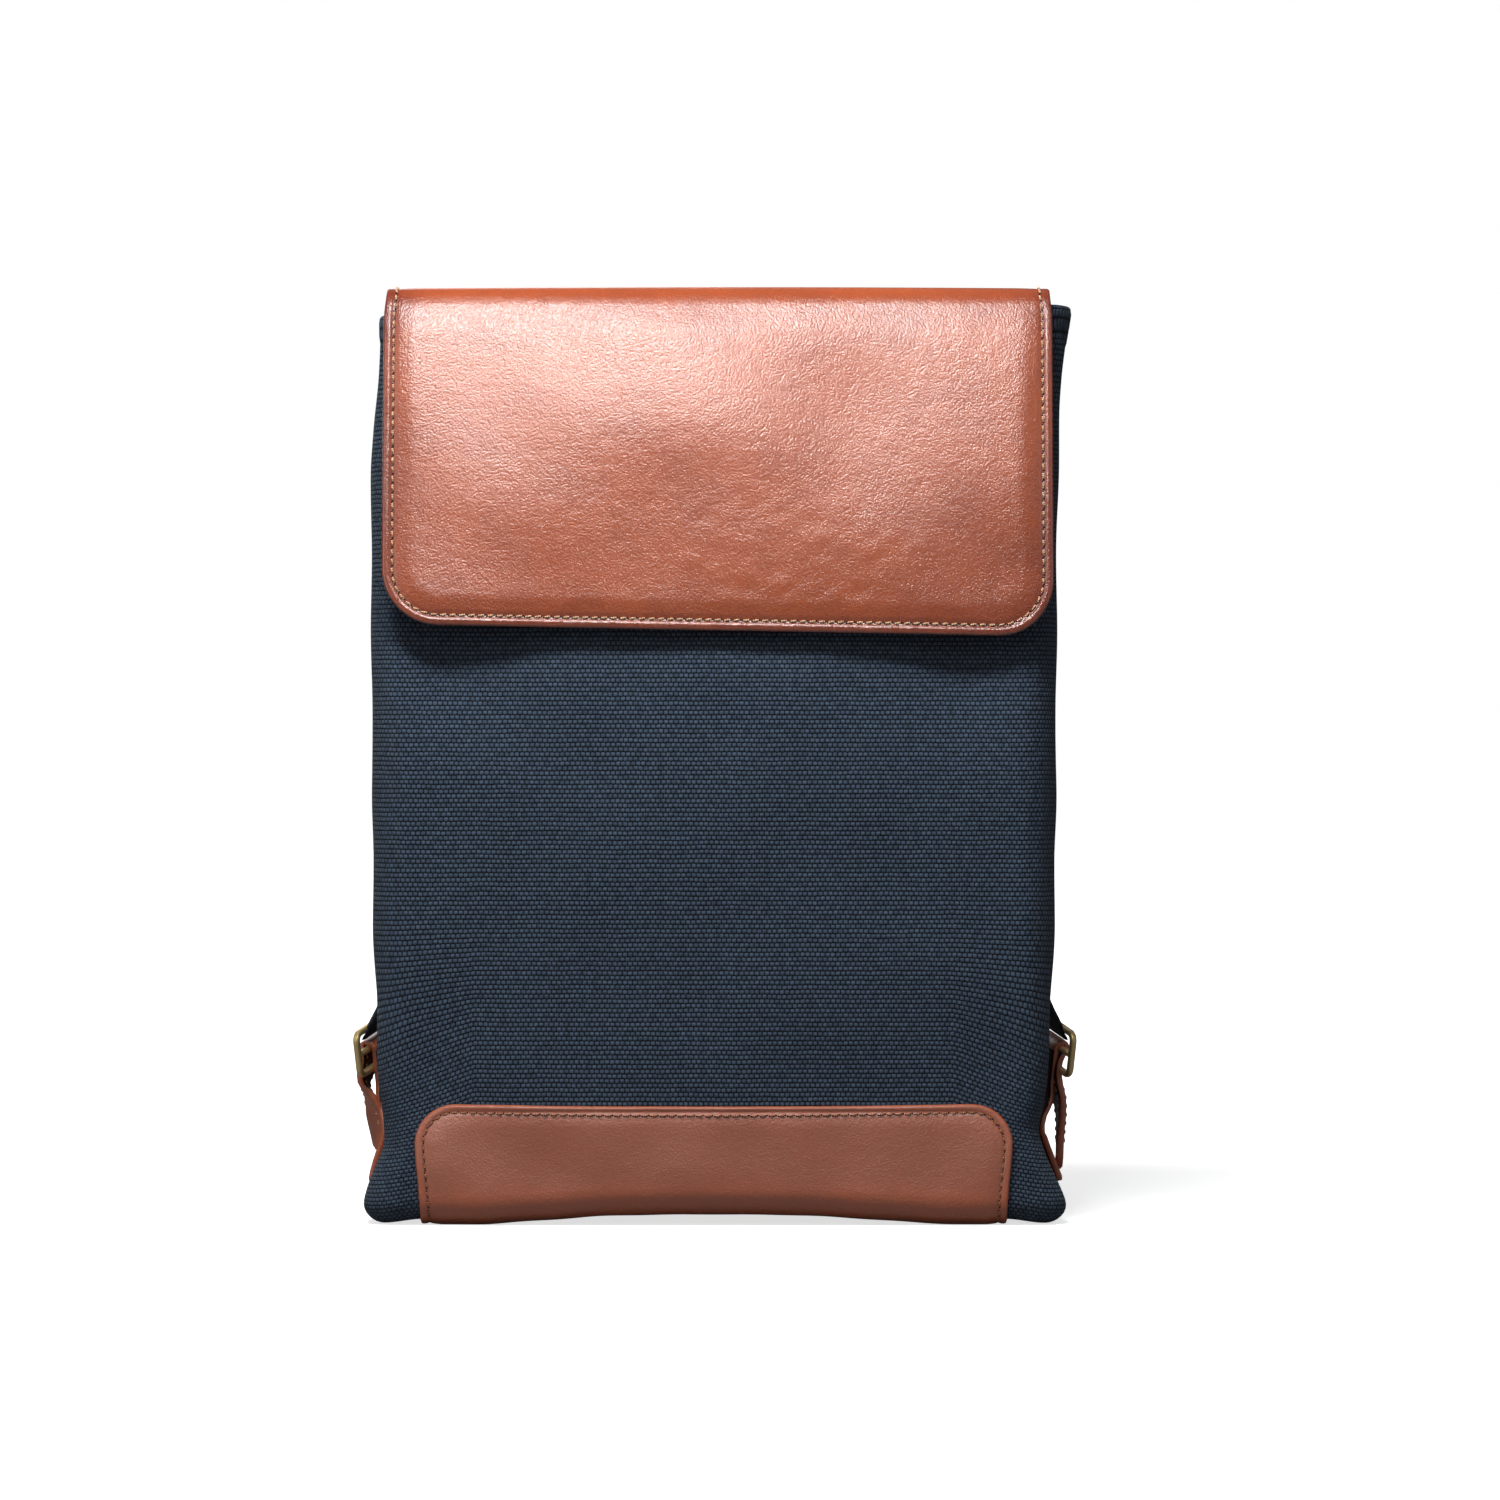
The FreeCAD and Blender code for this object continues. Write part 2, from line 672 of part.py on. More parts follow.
canvas_panels()
inner_pieces()
base_leather()
corner_patches()
flap_top_and_yoke()
flap_front()
haul_loop()
straps()
check_and_write()
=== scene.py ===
import math

import bmesh
import bpy
import numpy as np
from mathutils import Matrix, Vector


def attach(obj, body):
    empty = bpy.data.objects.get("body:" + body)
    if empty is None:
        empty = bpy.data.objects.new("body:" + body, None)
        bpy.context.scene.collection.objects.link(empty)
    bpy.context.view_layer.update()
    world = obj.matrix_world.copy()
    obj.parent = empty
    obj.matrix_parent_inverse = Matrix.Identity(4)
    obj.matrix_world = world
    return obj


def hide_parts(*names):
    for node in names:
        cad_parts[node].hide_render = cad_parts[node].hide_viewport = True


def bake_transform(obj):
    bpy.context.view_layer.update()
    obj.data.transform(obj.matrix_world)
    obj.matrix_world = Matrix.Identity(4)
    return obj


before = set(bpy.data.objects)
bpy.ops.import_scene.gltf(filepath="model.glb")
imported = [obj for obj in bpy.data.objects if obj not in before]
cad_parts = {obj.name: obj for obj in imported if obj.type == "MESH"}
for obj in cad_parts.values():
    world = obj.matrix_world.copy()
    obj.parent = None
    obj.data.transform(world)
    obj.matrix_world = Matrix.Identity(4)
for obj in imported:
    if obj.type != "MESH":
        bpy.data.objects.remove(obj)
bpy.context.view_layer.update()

# Shapes below are worked out in millimetres; MM turns them into metres.
MM = 0.001
TAU = 2 * math.pi
QUARTER = math.pi / 2
SIDEWAYS = np.array([1.0, 0, 0])
REARWARD = np.array([0, 1.0, 0])
UPWARD = np.array([0, 0, 1.0])


# ------------------------------------------------------------ small maths
def smooth(low, high, x):
    """0 below low, 1 above high, with an even turn between."""
    t = np.clip((np.asarray(x, float) - low) / (high - low), 0, 1)
    return t * t * (3 - 2 * t)


def bell(x, centre, width):
    """Soft bump of height 1."""
    return np.exp(-((np.asarray(x, float) - centre) / width) ** 2)


def unit(v):
    """Vectors scaled to length 1."""
    return v / np.maximum(np.linalg.norm(v, axis=-1, keepdims=True), 1e-9)


def stack(*parts):
    """Separate coordinates put together as points or texture places."""
    return np.stack(parts, -1)


def distance(points):
    """How far along a line each of its points is."""
    step = np.linalg.norm(np.diff(points, axis=0), axis=1)
    return np.concatenate([[0], np.cumsum(step)])


def lookup(where, s, points):
    """Values of a line's columns at distances along it."""
    return stack(*(np.interp(where, s, points[:, k]) for k in range(points.shape[1])))


def way_of(points):
    """Unit vector along a line at each of its points."""
    return unit(np.gradient(points, axis=0))


def ripple(a, b, wave, seed):
    """Smooth irregular waviness over two coordinates, about -1 to 1."""
    dice = np.random.default_rng(seed)
    total = np.zeros(np.broadcast(a, b).shape)
    for _ in range(9):
        heading = dice.uniform(0, TAU)
        length = wave * dice.uniform(0.7, 1.7)
        phase = dice.uniform(0, TAU)
        along = (a * math.cos(heading) + b * math.sin(heading)) * TAU / length
        total = total + np.sin(along + phase)
    return total / 4.5


class Curve:
    """A value that changes softly along one coordinate."""

    def __init__(self, places, values, soften=8):
        self.at = np.arange(min(places) - 60, max(places) + 60, 1.0)
        rough = np.interp(self.at, places, values)
        reach = np.arange(-3 * soften, 3 * soften + 1)
        weight = np.exp(-(reach / soften) ** 2)
        padded = np.pad(rough, 3 * soften, mode="edge")
        self.value = np.convolve(padded, weight / weight.sum(), mode="valid")

    def __call__(self, x):
        return np.interp(x, self.at, self.value)


class Profile:
    """A flat line with rounded corners, walked by distance."""

    def __init__(self, corners, radii):
        points = [np.array(corners[0], float)]
        for before, corner, after, radius in zip(corners, corners[1:], corners[2:], radii):
            corner = np.array(corner, float)
            back = unit(np.array(before, float) - corner)
            on = unit(np.array(after, float) - corner)
            half = math.acos(float(np.clip(back @ on, -1, 1))) / 2
            cut = radius / math.tan(half)
            centre = corner + unit(back + on) * radius / math.sin(half)
            first, last = corner + back * cut - centre, corner + on * cut - centre
            for share in np.linspace(0, 1, 16):
                points.append(centre + unit(first * (1 - share) + last * share) * radius)
        points.append(np.array(corners[-1], float))
        self.points = np.array(points)
        self.s = distance(self.points)
        self.length = self.s[-1]

    def at(self, s):
        """Place and outward normal at a distance, in the two axes of the corners."""
        near = np.clip(s, 1.0, self.length - 1.0)
        ahead = lookup(near + 1.0, self.s, self.points)
        way = unit(ahead - lookup(near - 1.0, self.s, self.points))
        return lookup(s, self.s, self.points), stack(way[..., 1], -way[..., 0])


# -------------------------------------------------------------- mesh making
class Solid:
    """Mesh under construction: points, faces, their texture places and a value for wear and
    painted shading.
    """

    def __init__(self):
        self.points, self.wear_and_shading, self.faces, self.uvs, self.slots = [], [], [], [], []
        self.count = 0

    def add(self, points, wear_and_shading=0.0):
        """Adds points and gives back their numbers in the same layout."""
        shape = points.shape[:-1]
        self.points.append(points.reshape(-1, 3))
        self.wear_and_shading.append(np.broadcast_to(wear_and_shading, shape).reshape(-1))
        size = int(np.prod(shape))
        ids = np.arange(self.count, self.count + size).reshape(shape)
        self.count += size
        return ids

    def quads(self, ids, uv, slot=0):
        """Faces over a grid of point numbers."""
        def four(g):
            return np.stack([g[:-1, :-1], g[:-1, 1:], g[1:, 1:], g[1:, :-1]], 2)
        faces = four(ids).reshape(-1, 4)
        self.faces += faces.tolist()
        self.uvs.append(four(uv).reshape(-1, 2))
        self.slots += [slot] * len(faces)

    def cap(self, ring, uv, slot=0):
        """One face over a ring of points."""
        self.faces.append(list(map(int, ring)))
        self.uvs.append(uv)
        self.slots.append(slot)

    def build(self, name, *materials):
        """The finished object."""
        mesh = bpy.data.meshes.new(name)
        points = np.concatenate(self.points) * MM
        mesh.from_pydata(points.tolist(), [], self.faces)
        layer = mesh.uv_layers.new(name="Flat")
        layer.data.foreach_set("uv", (np.concatenate(self.uvs) * MM).astype(np.float32).ravel())
        wear_and_shading = mesh.attributes.new("WearAndShading", "FLOAT", "POINT")
        wear_and_shading.data.foreach_set("value", np.concatenate(self.wear_and_shading).astype(np.float32))
        for material in materials:
            mesh.materials.append(material)
        mesh.polygons.foreach_set("material_index", np.array(self.slots, np.int32))
        mesh.polygons.foreach_set("use_smooth", np.ones(len(self.faces), bool))
        work = bmesh.new()
        work.from_mesh(mesh)
        bmesh.ops.recalc_face_normals(work, faces=work.faces)
        work.to_mesh(mesh)
        work.free()
        mesh.update()
        item = bpy.data.objects.new(name, mesh)
        bpy.context.scene.collection.objects.link(item)
        return item


def grid_normals(points):
    """Normals of a grid of points."""
    across = np.gradient(points, axis=1)
    down = np.gradient(points, axis=0)
    return unit(np.cross(across, down))


EDGE_UV = np.array([1.3, 0.9])     # texture travel round the edge of a sheet


def leaf(solid, points, thick, uv, out, wear_and_shading=0.0, open_top=False, fat=0.5):
    """Sheet with a thickness and rounded edges. points is its outer face; out, roughly,
    is the way that face looks. open_top leaves the first row open for a neighbour."""
    normal = grid_normals(points)
    if float((normal * out).sum(-1).mean()) < 0:
        normal = -normal
    thick = np.broadcast_to(thick, points.shape[:2])[..., None]
    inner = points - normal * thick
    wear_and_shading = np.broadcast_to(wear_and_shading, points.shape[:2])
    top, low = solid.add(points, wear_and_shading), solid.add(inner, wear_and_shading)
    solid.quads(top, uv)
    solid.quads(low, uv)
    rows, cols = points.shape[:2]
    right = [(r, cols - 1) for r in range(rows)]
    bottom = [(rows - 1, c) for c in range(cols - 2, -1, -1)]
    left = [(r, 0) for r in range(rows - 2, -1, -1)]
    upper = [(0, c) for c in range(1, cols - 1)]
    path = right + bottom + left + ([] if open_top else upper)
    i, j = np.array(path).T
    a, b, n = points[i, j], inner[i, j], normal[i, j]
    inside = points[np.clip(i, 1, rows - 2), np.clip(j, 1, cols - 2)]
    if open_top:
        way = np.gradient(a, axis=0)
    else:
        way = np.roll(a, -1, 0) - np.roll(a, 1, 0)
    edge = unit(np.cross(unit(way), n))
    edge *= np.sign(((a - inside) * edge).sum(-1, keepdims=True))
    ring, places = [top[i, j]], [uv[i, j]]
    depth = thick[i, j]
    for turn in (0.25, 0.5, 0.75):
        angle = turn * math.pi
        row = (a + b) / 2 + (a - b) / 2 * math.cos(angle) + edge * depth * fat * math.sin(angle)
        ring.append(solid.add(row, wear_and_shading[i, j]))
        places.append(uv[i, j] + EDGE_UV * turn)
    ring.append(low[i, j])
    places.append(uv[i, j] + EDGE_UV)
    ring, places = np.array(ring), np.array(places)
    if not open_top:
        ring = np.concatenate([ring, ring[:, :1]], 1)
        places = np.concatenate([places, places[:, :1]], 1)
    solid.quads(ring, places)


def one_sheet(name, material, *args, **options):
    """Object that is a single sheet; the rest is as for leaf."""
    solid = Solid()
    leaf(solid, *args, **options)
    return solid.build(name, material)


# Distances from a panel's edge at which its grid has lines, and where it turns coarse.
EDGE_STEPS = np.array([0, 0.35, 0.8, 1.4, 2.0, 2.7, 3.4, 4.2, 5.2, 6.6, 8.4, 10.6])
EDGE_ZONE = 12


def panel_grid(low_x, high_x, s_start, s_end, radius, step=2.2):
    """Coordinates over a panel with rounded corners at its end, finer near its edges."""
    edge = EDGE_STEPS
    inner = np.arange(edge[-1] + step, s_end - s_start - max(radius, EDGE_ZONE), step)
    near_end = np.arange(EDGE_ZONE, max(radius, EDGE_ZONE), 1.1)[::-1]
    s = [s_start + edge, s_start + inner, s_end - near_end, s_end - edge[::-1]]
    s = np.unique(np.round(np.concatenate(s), 4))
    short = np.maximum(radius - (s_end - s), 0)
    inset = radius - np.sqrt(np.maximum(radius * radius - short ** 2, 0))
    middle = np.linspace(0, 1, int((high_x - low_x) / step))[1:-1]
    rows = []
    for value in inset:
        a, b = low_x + value, high_x - value
        inner = a + edge[-1] + (b - a - 2 * edge[-1]) * middle
        rows.append(np.concatenate([a + edge, inner, b - edge[::-1]]))
    x = np.array(rows)
    return x, np.broadcast_to(s[:, None], x.shape).copy()


def inset_of(x, s, low_x, high_x, s_end, radius):
    """Distance inside a panel's edge."""
    side = np.minimum(x - low_x, high_x - x)
    end = s_end - s
    corner = radius - np.hypot(np.maximum(radius - side, 0), np.maximum(radius - end, 0))
    return np.where((side < radius) & (end < radius), corner, np.minimum(side, end))


def contour(low_x, high_x, s_start, s_end, radius, inset):
    """Line round a panel at a distance inside its edge: down, across and up."""
    r = radius - inset
    left = [(low_x + inset, s) for s in np.linspace(s_start, s_end - radius, 60)]
    left += [(low_x + radius - r * math.cos(t), s_end - radius + r * math.sin(t))
             for t in np.linspace(0, QUARTER, 14)[1:]]
    right = [(high_x + low_x - x, s) for x, s in left][::-1]
    return np.array(left + right)


def evenly(points, pitch):
    """Places at an even pitch along a line, with the way it runs."""
    s = distance(points)
    count = max(2, int(s[-1] / pitch))
    at = (np.arange(count) + 0.5) * s[-1] / count
    return lookup(at, s, points), unit(lookup(at + 0.6, s, points) - lookup(at - 0.6, s, points))


def sew(solid, centres, way, normal, length=3.0, radius=0.42, slant=0.16, proud=0.15):
    """Row of thread stitches lying in a leather surface, each between two dark discs painted as
    the shade in its needle holes.
    """
    normal = unit(normal - way * (normal * way).sum(-1, keepdims=True))
    side = np.cross(normal, way)
    run = unit(way * math.cos(slant) + side * math.sin(slant))
    wide = np.cross(normal, run)
    t = np.linspace(-1, 1, 7)
    turn = np.linspace(0, TAU, 8)[:-1]
    thin = radius * np.sqrt(np.maximum(1 - 0.86 * t ** 4, 0))
    lift = proud + (1 - t ** 2) * 0.22 - 0.55 * np.abs(t) ** 5
    for c, d, w, n in zip(centres, run, wide, normal):
        ring = (c + d * (t * length / 2)[:, None, None] + n * lift[:, None, None]
                + thin[:, None, None] * (w * np.cos(turn)[:, None] * 1.15
                                         + n * np.sin(turn)[:, None]))
        ids = solid.add(ring)
        closed = np.concatenate([ids, ids[:, :1]], 1)
        solid.quads(closed, stack(*np.meshgrid(np.linspace(0, 3, 8), t * length / 2)))
        for end, sign in ((0, -1), (-1, 1)):
            solid.cap(ids[end], np.zeros((len(turn), 2)))
            # Dark disc beyond each end of the stitch: painted shade of its needle hole.
            at = c + d * sign * (length / 2 + 0.12) + n * 0.03
            spot = at + 0.42 * (w * np.cos(turn)[:, None] + d * np.sin(turn)[:, None])
            solid.cap(solid.add(spot), np.zeros((len(turn), 2)), 1)


def sew_line(solid, line, normal, radius):
    """Row of stitches along a line on a face that looks one way."""
    at, run = evenly(line, 4.0)
    sew(solid, at, run, np.broadcast_to(normal, at.shape), 2.9, radius)


def sew_band(solid, path, thick, face, offset, shown, pitch, length, radius):
    """Row of stitches on one face of a turning band, over the stations shown."""
    at, run = evenly((path + offset)[shown], pitch)
    station = np.linspace(shown[0], shown[-1], len(at))
    normal = lookup(station, np.arange(len(path)), thick * face)
    sew(solid, at, run, normal, length, radius, proud=0.0)


def sweep(solid, centres, across, out, half_w, half_t, square, points, slot=0):
    """Strip or cord along a line. across and out are unit vectors at each station."""
    centres = np.asarray(centres, float)
    count = len(centres)
    turn = np.linspace(0, TAU, points + 1)[:-1]
    px = np.sign(np.cos(turn)) * np.abs(np.cos(turn)) ** (2 / square)
    py = np.sign(np.sin(turn)) * np.abs(np.sin(turn)) ** (2 / square)
    half_w = np.broadcast_to(half_w, count)[:, None, None]
    half_t = np.broadcast_to(half_t, count)[:, None, None]
    across = np.broadcast_to(across, (count, 3))[:, None, :]
    out = np.broadcast_to(out, (count, 3))[:, None, :]
    ring = centres[:, None, :] + across * half_w * px[:, None] + out * half_t * py[:, None]
    ids = solid.add(ring)
    edge = np.linalg.norm(np.roll(ring, -1, 1) - ring, axis=2).mean(0)
    round_it = np.concatenate([[0], np.cumsum(edge)])
    uv = stack(*np.meshgrid(round_it, distance(centres)))
    solid.quads(np.concatenate([ids, ids[:, :1]], 1), uv, slot)
    for end in (0, -1):
        solid.cap(ids[end], uv[end, :-1], slot)


def one_strip(name, materials, *args):
    """Object that is a single strip; the rest is as for sweep."""
    solid = Solid()
    sweep(solid, *args)
    return solid.build(name, *materials)


def bezier(poles, count):
    """Points along a cubic curve."""
    t = np.linspace(0, 1, count)[:, None]
    a, b, c, d = [np.array(p, float) for p in poles]
    return a * (1 - t) ** 3 + 3 * b * t * (1 - t) ** 2 + 3 * c * t * t * (1 - t) + d * t ** 3


# ---------------------------------------------------------------- materials
def tint(red, green, blue):
    """Screen colour, 0 to 255, as scene-linear."""
    out = []
    for value in (red, green, blue):
        c = value / 255
        out.append(c / 12.92 if c <= 0.04045 else ((c + 0.055) / 1.055) ** 2.4)
    return (*out, 1.0)


class Finish:
    """A material and short ways to wire it."""

    def __init__(self, name):
        self.material = bpy.data.materials.new(name)
        self.material.use_nodes = True
        self.tree = self.material.node_tree
        self.tree.nodes.clear()
        self.shader = self.node("ShaderNodeBsdfPrincipled")
        output = self.node("ShaderNodeOutputMaterial")
        self.tree.links.new(self.shader.outputs[0], output.inputs[0])

    def node(self, kind):
        return self.tree.nodes.new(kind)

    def put(self, socket, value):
        if isinstance(value, bpy.types.NodeSocket):
            self.tree.links.new(value, socket)
        else:
            socket.default_value = value

    def set(self, **values):
        for key, value in values.items():
            self.put(self.shader.inputs[key.replace("_", " ")], value)

    def math(self, kind, *values):
        node = self.node("ShaderNodeMath")
        node.operation = kind
        for socket, value in zip(node.inputs, values):
            self.put(socket, value)
        return node.outputs[0]

    def flat(self, stretch=(1, 1, 1)):
        """Millimetres along the cloth or leather."""
        source = self.node("ShaderNodeUVMap")
        source.uv_map = "Flat"
        return self.scaled(source.outputs[0], stretch)

    def space(self, stretch=(1, 1, 1)):
        """Millimetres in the object's own space."""
        return self.scaled(self.node("ShaderNodeTexCoord").outputs["Object"], stretch)

    def scaled(self, socket, stretch):
        node = self.node("ShaderNodeMapping")
        self.put(node.inputs["Vector"], socket)
        node.inputs["Scale"].default_value = [1000 * k for k in stretch]
        return node.outputs[0]

    def noise(self, where, size, detail=2.0, rough=0.5):
        node = self.node("ShaderNodeTexNoise")
        self.put(node.inputs["Vector"], where)
        node.inputs["Scale"].default_value = 1 / size
        node.inputs["Detail"].default_value = detail
        node.inputs["Roughness"].default_value = rough
        return node.outputs[0]

    def cells(self, where, size):
        node = self.node("ShaderNodeTexVoronoi")
        self.put(node.inputs["Vector"], where)
        node.inputs["Scale"].default_value = 1 / size
        return node.outputs["Distance"]

    def ramp(self, value, low, high, start=0.0, end=1.0):
        node = self.node("ShaderNodeMapRange")
        node.interpolation_type = "SMOOTHSTEP"
        for socket, item in zip(node.inputs, (value, low, high, start, end)):
            self.put(socket, item)
        return node.outputs[0]

    def mix(self, share, a, b):
        node = self.node("ShaderNodeMix")
        node.data_type = "RGBA"
        self.put(node.inputs[0], share)
        self.put(node.inputs[6], a)
        self.put(node.inputs[7], b)
        return node.outputs[2]

    def wear_and_shading(self):
        node = self.node("ShaderNodeAttribute")
        node.attribute_name = "WearAndShading"
        return node.outputs["Fac"]

    def bump(self, height, depth, under=None, strength=1.0):
        """Relief whose height is a share of a depth in metres."""
        node = self.node("ShaderNodeBump")
        node.inputs["Strength"].default_value = strength
        node.inputs["Distance"].default_value = depth
        self.put(node.inputs["Height"], height)
        if under is not None:
            self.put(node.inputs["Normal"], under)
        return node.outputs[0]


def woven(name, top, gap, across=2.2, down=2.02, relief=0.0005, fuzz=0.25):
    """Staggered plain weave of thick yarns, its colour painted darker down into the gaps as shade.
    """
    f = Finish(name)
    where = f.flat()
    drift = f.noise(where, 16, 1.0)
    parts = f.node("ShaderNodeSeparateXYZ")
    f.put(parts.inputs[0], where)
    sway = f.math("MULTIPLY", f.math("SUBTRACT", drift, 0.5), 0.7)
    u = f.math("DIVIDE", f.math("ADD", parts.outputs[0], sway), across)
    v = f.math("DIVIDE", f.math("ADD", parts.outputs[1], sway), down)
    row = f.math("FLOOR", v)
    odd = f.math("MULTIPLY", f.math("MODULO", f.math("ABSOLUTE", row), 2.0), 0.5)
    fu = f.math("MULTIPLY_ADD", f.math("FRACT", f.math("ADD", u, odd)), 2.0, -1.0)
    fv = f.math("MULTIPLY_ADD", f.math("FRACT", v), 2.0, -1.0)
    a = f.math("SUBTRACT", 1.0, f.math("POWER", f.math("ABSOLUTE", fu), 2.4))
    b = f.math("SUBTRACT", 1.0, f.math("POWER", f.math("ABSOLUTE", fv), 2.4))
    knob = f.math("POWER", f.math("MULTIPLY", a, b), 0.55)
    fibre = f.noise(f.flat((1.0, 3.2, 1.0)), 0.45, 3.0, 0.6)
    lump = f.noise(where, 3.1, 2.0)
    height = f.math("MULTIPLY_ADD", fibre, 0.16, knob)
    height = f.math("MULTIPLY_ADD", lump, 0.25, height)
    # Colour runs from the gap colour in the hollows to the top colour on each knob: painted shade
    # in the weave's hollows.
    share = f.ramp(knob, 0.22, 1.0)
    share = f.math("MULTIPLY", share, f.ramp(lump, 0.25, 0.75, 0.62, 1.12))
    share = f.math("MULTIPLY", share, f.ramp(fibre, 0.25, 0.75, 0.75, 1.1))
    f.set(Base_Color=f.mix(share, gap, top), Roughness=0.86, Sheen_Weight=fuzz,
          Specular_IOR_Level=0.18, Normal=f.bump(height, relief))
    return f.material


GRAIN_SIZE = 0.85       # mm across one pebble of the leather's grain
GRAIN_DEPTH = 0.00009   # metres


def hide(name, base, deep, rough, shine, polish=0.34):
    """Leather with a fine pebbled grain; a per-point value adds burnished edges and painted light
    and shade.
    """
    f = Finish(name)
    where = f.flat()
    warp = f.noise(where, 2.6, 2.0)
    moved = f.node("ShaderNodeVectorMath")
    moved.operation = "MULTIPLY_ADD"
    f.put(moved.inputs[0], f.math("SUBTRACT", warp, 0.5))
    moved.inputs[1].default_value = (1.3, 1.0, 0.0)
    f.put(moved.inputs[2], where)
    pebbles = f.cells(moved.outputs[0], GRAIN_SIZE)
    pores = f.noise(where, 0.42, 2.0, 0.6)
    cloud = f.noise(where, 26, 3.0, 0.55)
    soft = f.noise(where, 7.5, 3.0, 0.6)
    height = f.math("MULTIPLY_ADD", pores, 0.5, f.math("MULTIPLY", pebbles, -1.0))
    wear_shading = f.wear_and_shading()
    # The per-point value: burnished edges, plus painted light and shade where a sheet sets it.
    dark = f.math("MULTIPLY_ADD", f.ramp(cloud, 0.3, 0.72), -0.30, wear_shading)
    dark = f.math("MULTIPLY_ADD", f.ramp(pebbles, 0.35, 0.75), 0.16, dark)
    dark = f.math("ADD", dark, 0.12)
    dark.node.use_clamp = True
    relief = f.bump(soft, 0.0004, f.bump(height, GRAIN_DEPTH), 0.5)
    f.set(Base_Color=f.mix(dark, base, deep), Normal=relief, Coat_Normal=relief,
          Roughness=f.math("MULTIPLY_ADD", f.math("SUBTRACT", soft, 0.5), 0.16, rough),
          Specular_IOR_Level=0.3, Coat_Weight=shine, Coat_Roughness=polish, Coat_IOR=2.2)
    return f.material


def nap(name, base, deep, size=0.5):
    """Suede, felt or foam: short irregular pile."""
    f = Finish(name)
    where = f.space()
    fine = f.noise(where, size, 3.0, 0.65)
    broad = f.noise(where, 18, 2.0)
    share = f.math("MULTIPLY_ADD", broad, 0.5, f.math("MULTIPLY", fine, 0.5))
    f.set(Base_Color=f.mix(f.ramp(share, 0.3, 0.7), deep, base), Roughness=0.95,
          Sheen_Weight=0.3, Normal=f.bump(fine, 0.0003))
    return f.material


def metal(name, colour, brush):
    """Metal with fine handling marks."""
    f = Finish(name)
    fine = f.noise(f.space(brush), 0.6, 4.0, 0.7)
    broad = f.noise(f.space(), 6.0, 2.0)
    deep = tuple(c * 0.55 for c in colour[:3]) + (1.0,)
    f.set(Base_Color=f.mix(f.ramp(broad, 0.62, 0.85), colour, deep), Metallic=0.6,
          Roughness=f.math("MULTIPLY_ADD", fine, 0.22, 0.3),
          Normal=f.bump(fine, 0.00003))
    return f.material


def thread(name, colour, dark):
    """Twisted two-ply thread, painted darker in the grooves between its plies as shade."""
    f = Finish(name)
    parts = f.node("ShaderNodeSeparateXYZ")
    f.put(parts.inputs[0], f.flat())
    down = f.math("MULTIPLY", parts.outputs[1], 5.6)
    twist = f.math("MULTIPLY_ADD", parts.outputs[0], 2.1, down)
    ply = f.math("MULTIPLY_ADD", f.math("SINE", twist), 0.5, 0.5)
    # Painted shade: the grooves between the plies are darker.
    f.set(Base_Color=f.mix(f.ramp(ply, 0.0, 0.5), dark, colour), Roughness=0.6,
          Normal=f.bump(ply, 0.00012))
    return f.material


def plain(name, colour, rough):
    """Dull surface with a slight mottle."""
    f = Finish(name)
    speck = f.noise(f.space(), 1.5, 3.0)
    deep = tuple(c * 0.7 for c in colour[:3]) + (1.0,)
    f.set(Base_Color=f.mix(speck, deep, colour), Roughness=rough,
          Normal=f.bump(speck, 0.0001))
    return f.material


CANVAS = woven("canvas_weave", tint(80, 96, 116), tint(6, 9, 14), fuzz=0.06)
WEBBING = woven("strap_weave", tint(90, 103, 121), tint(12, 17, 26), 1.7, 1.5, 0.0003)
LINING = woven("lining_weave", tint(176, 166, 150), tint(112, 102, 88), 0.7, 0.7, 0.0001, 0.1)
BLACK_WEB = woven("tab_weave", tint(44, 50, 60), tint(6, 8, 12), 1.5, 1.1, 0.0003, 0.1)
MESH = woven("pad_weave", tint(58, 62, 70), tint(10, 12, 16), 2.6, 2.2, 0.0006, 0.1)
LEATHER = hide("leather_grain", tint(184, 84, 34), tint(124, 42, 10), 0.55, 1.0, 0.27)
PATCH = hide("patch_grain", tint(164, 82, 46), tint(184, 84, 34), 0.6, 0.8, 0.46)
STRAP_HIDE = hide("strap_grain", tint(196, 98, 56), tint(140, 62, 30), 0.55, 0.6, 0.4)
# Flesh side of the strap leather, dark brown as painted shade on the straps' inner faces.
FLESH_SHADE = hide("strap_flesh", tint(58, 32, 20), tint(34, 18, 12), 0.8, 0.0)
SUEDE = nap("suede_nap", tint(172, 122, 84), tint(120, 78, 48))
FOAM = nap("foam_cells", tint(60, 62, 66), tint(28, 29, 32), 1.2)
BOARD = plain("board_fibre", tint(122, 112, 98), 0.85)
BRASS = metal("brass_satin", tint(228, 198, 138), (1, 1, 6))
STEEL = metal("magnet_steel", tint(170, 172, 176), (1, 1, 1))
CREAM = thread("thread_cream", tint(226, 186, 150), tint(150, 104, 74))
TAN = thread("thread_brown", tint(176, 120, 84), tint(96, 56, 34))
NAVY = thread("thread_navy", tint(70, 80, 96), tint(24, 30, 40))
# Needle holes: dark discs at the stitch ends, painted shade of the holes.
HOLE = plain("needle_hole", tint(34, 14, 8), 0.9)


# --------------------------------------------------------- body of the bag
MOUTH = 395.0
FOOT = 2.2
BACK = 42.0
TURN_Z = 12.0      # where the walls start to round under
TURN_FRONT = 10.0
TURN_SIDE = 7.0
REAR_NIP = 2.8     # how much narrower the foot is at the back
CANVAS_THICK = 1.8
CORNER_FRONT, CORNER_REAR = 15.0, 5.0     # radii of the bag's upright corners

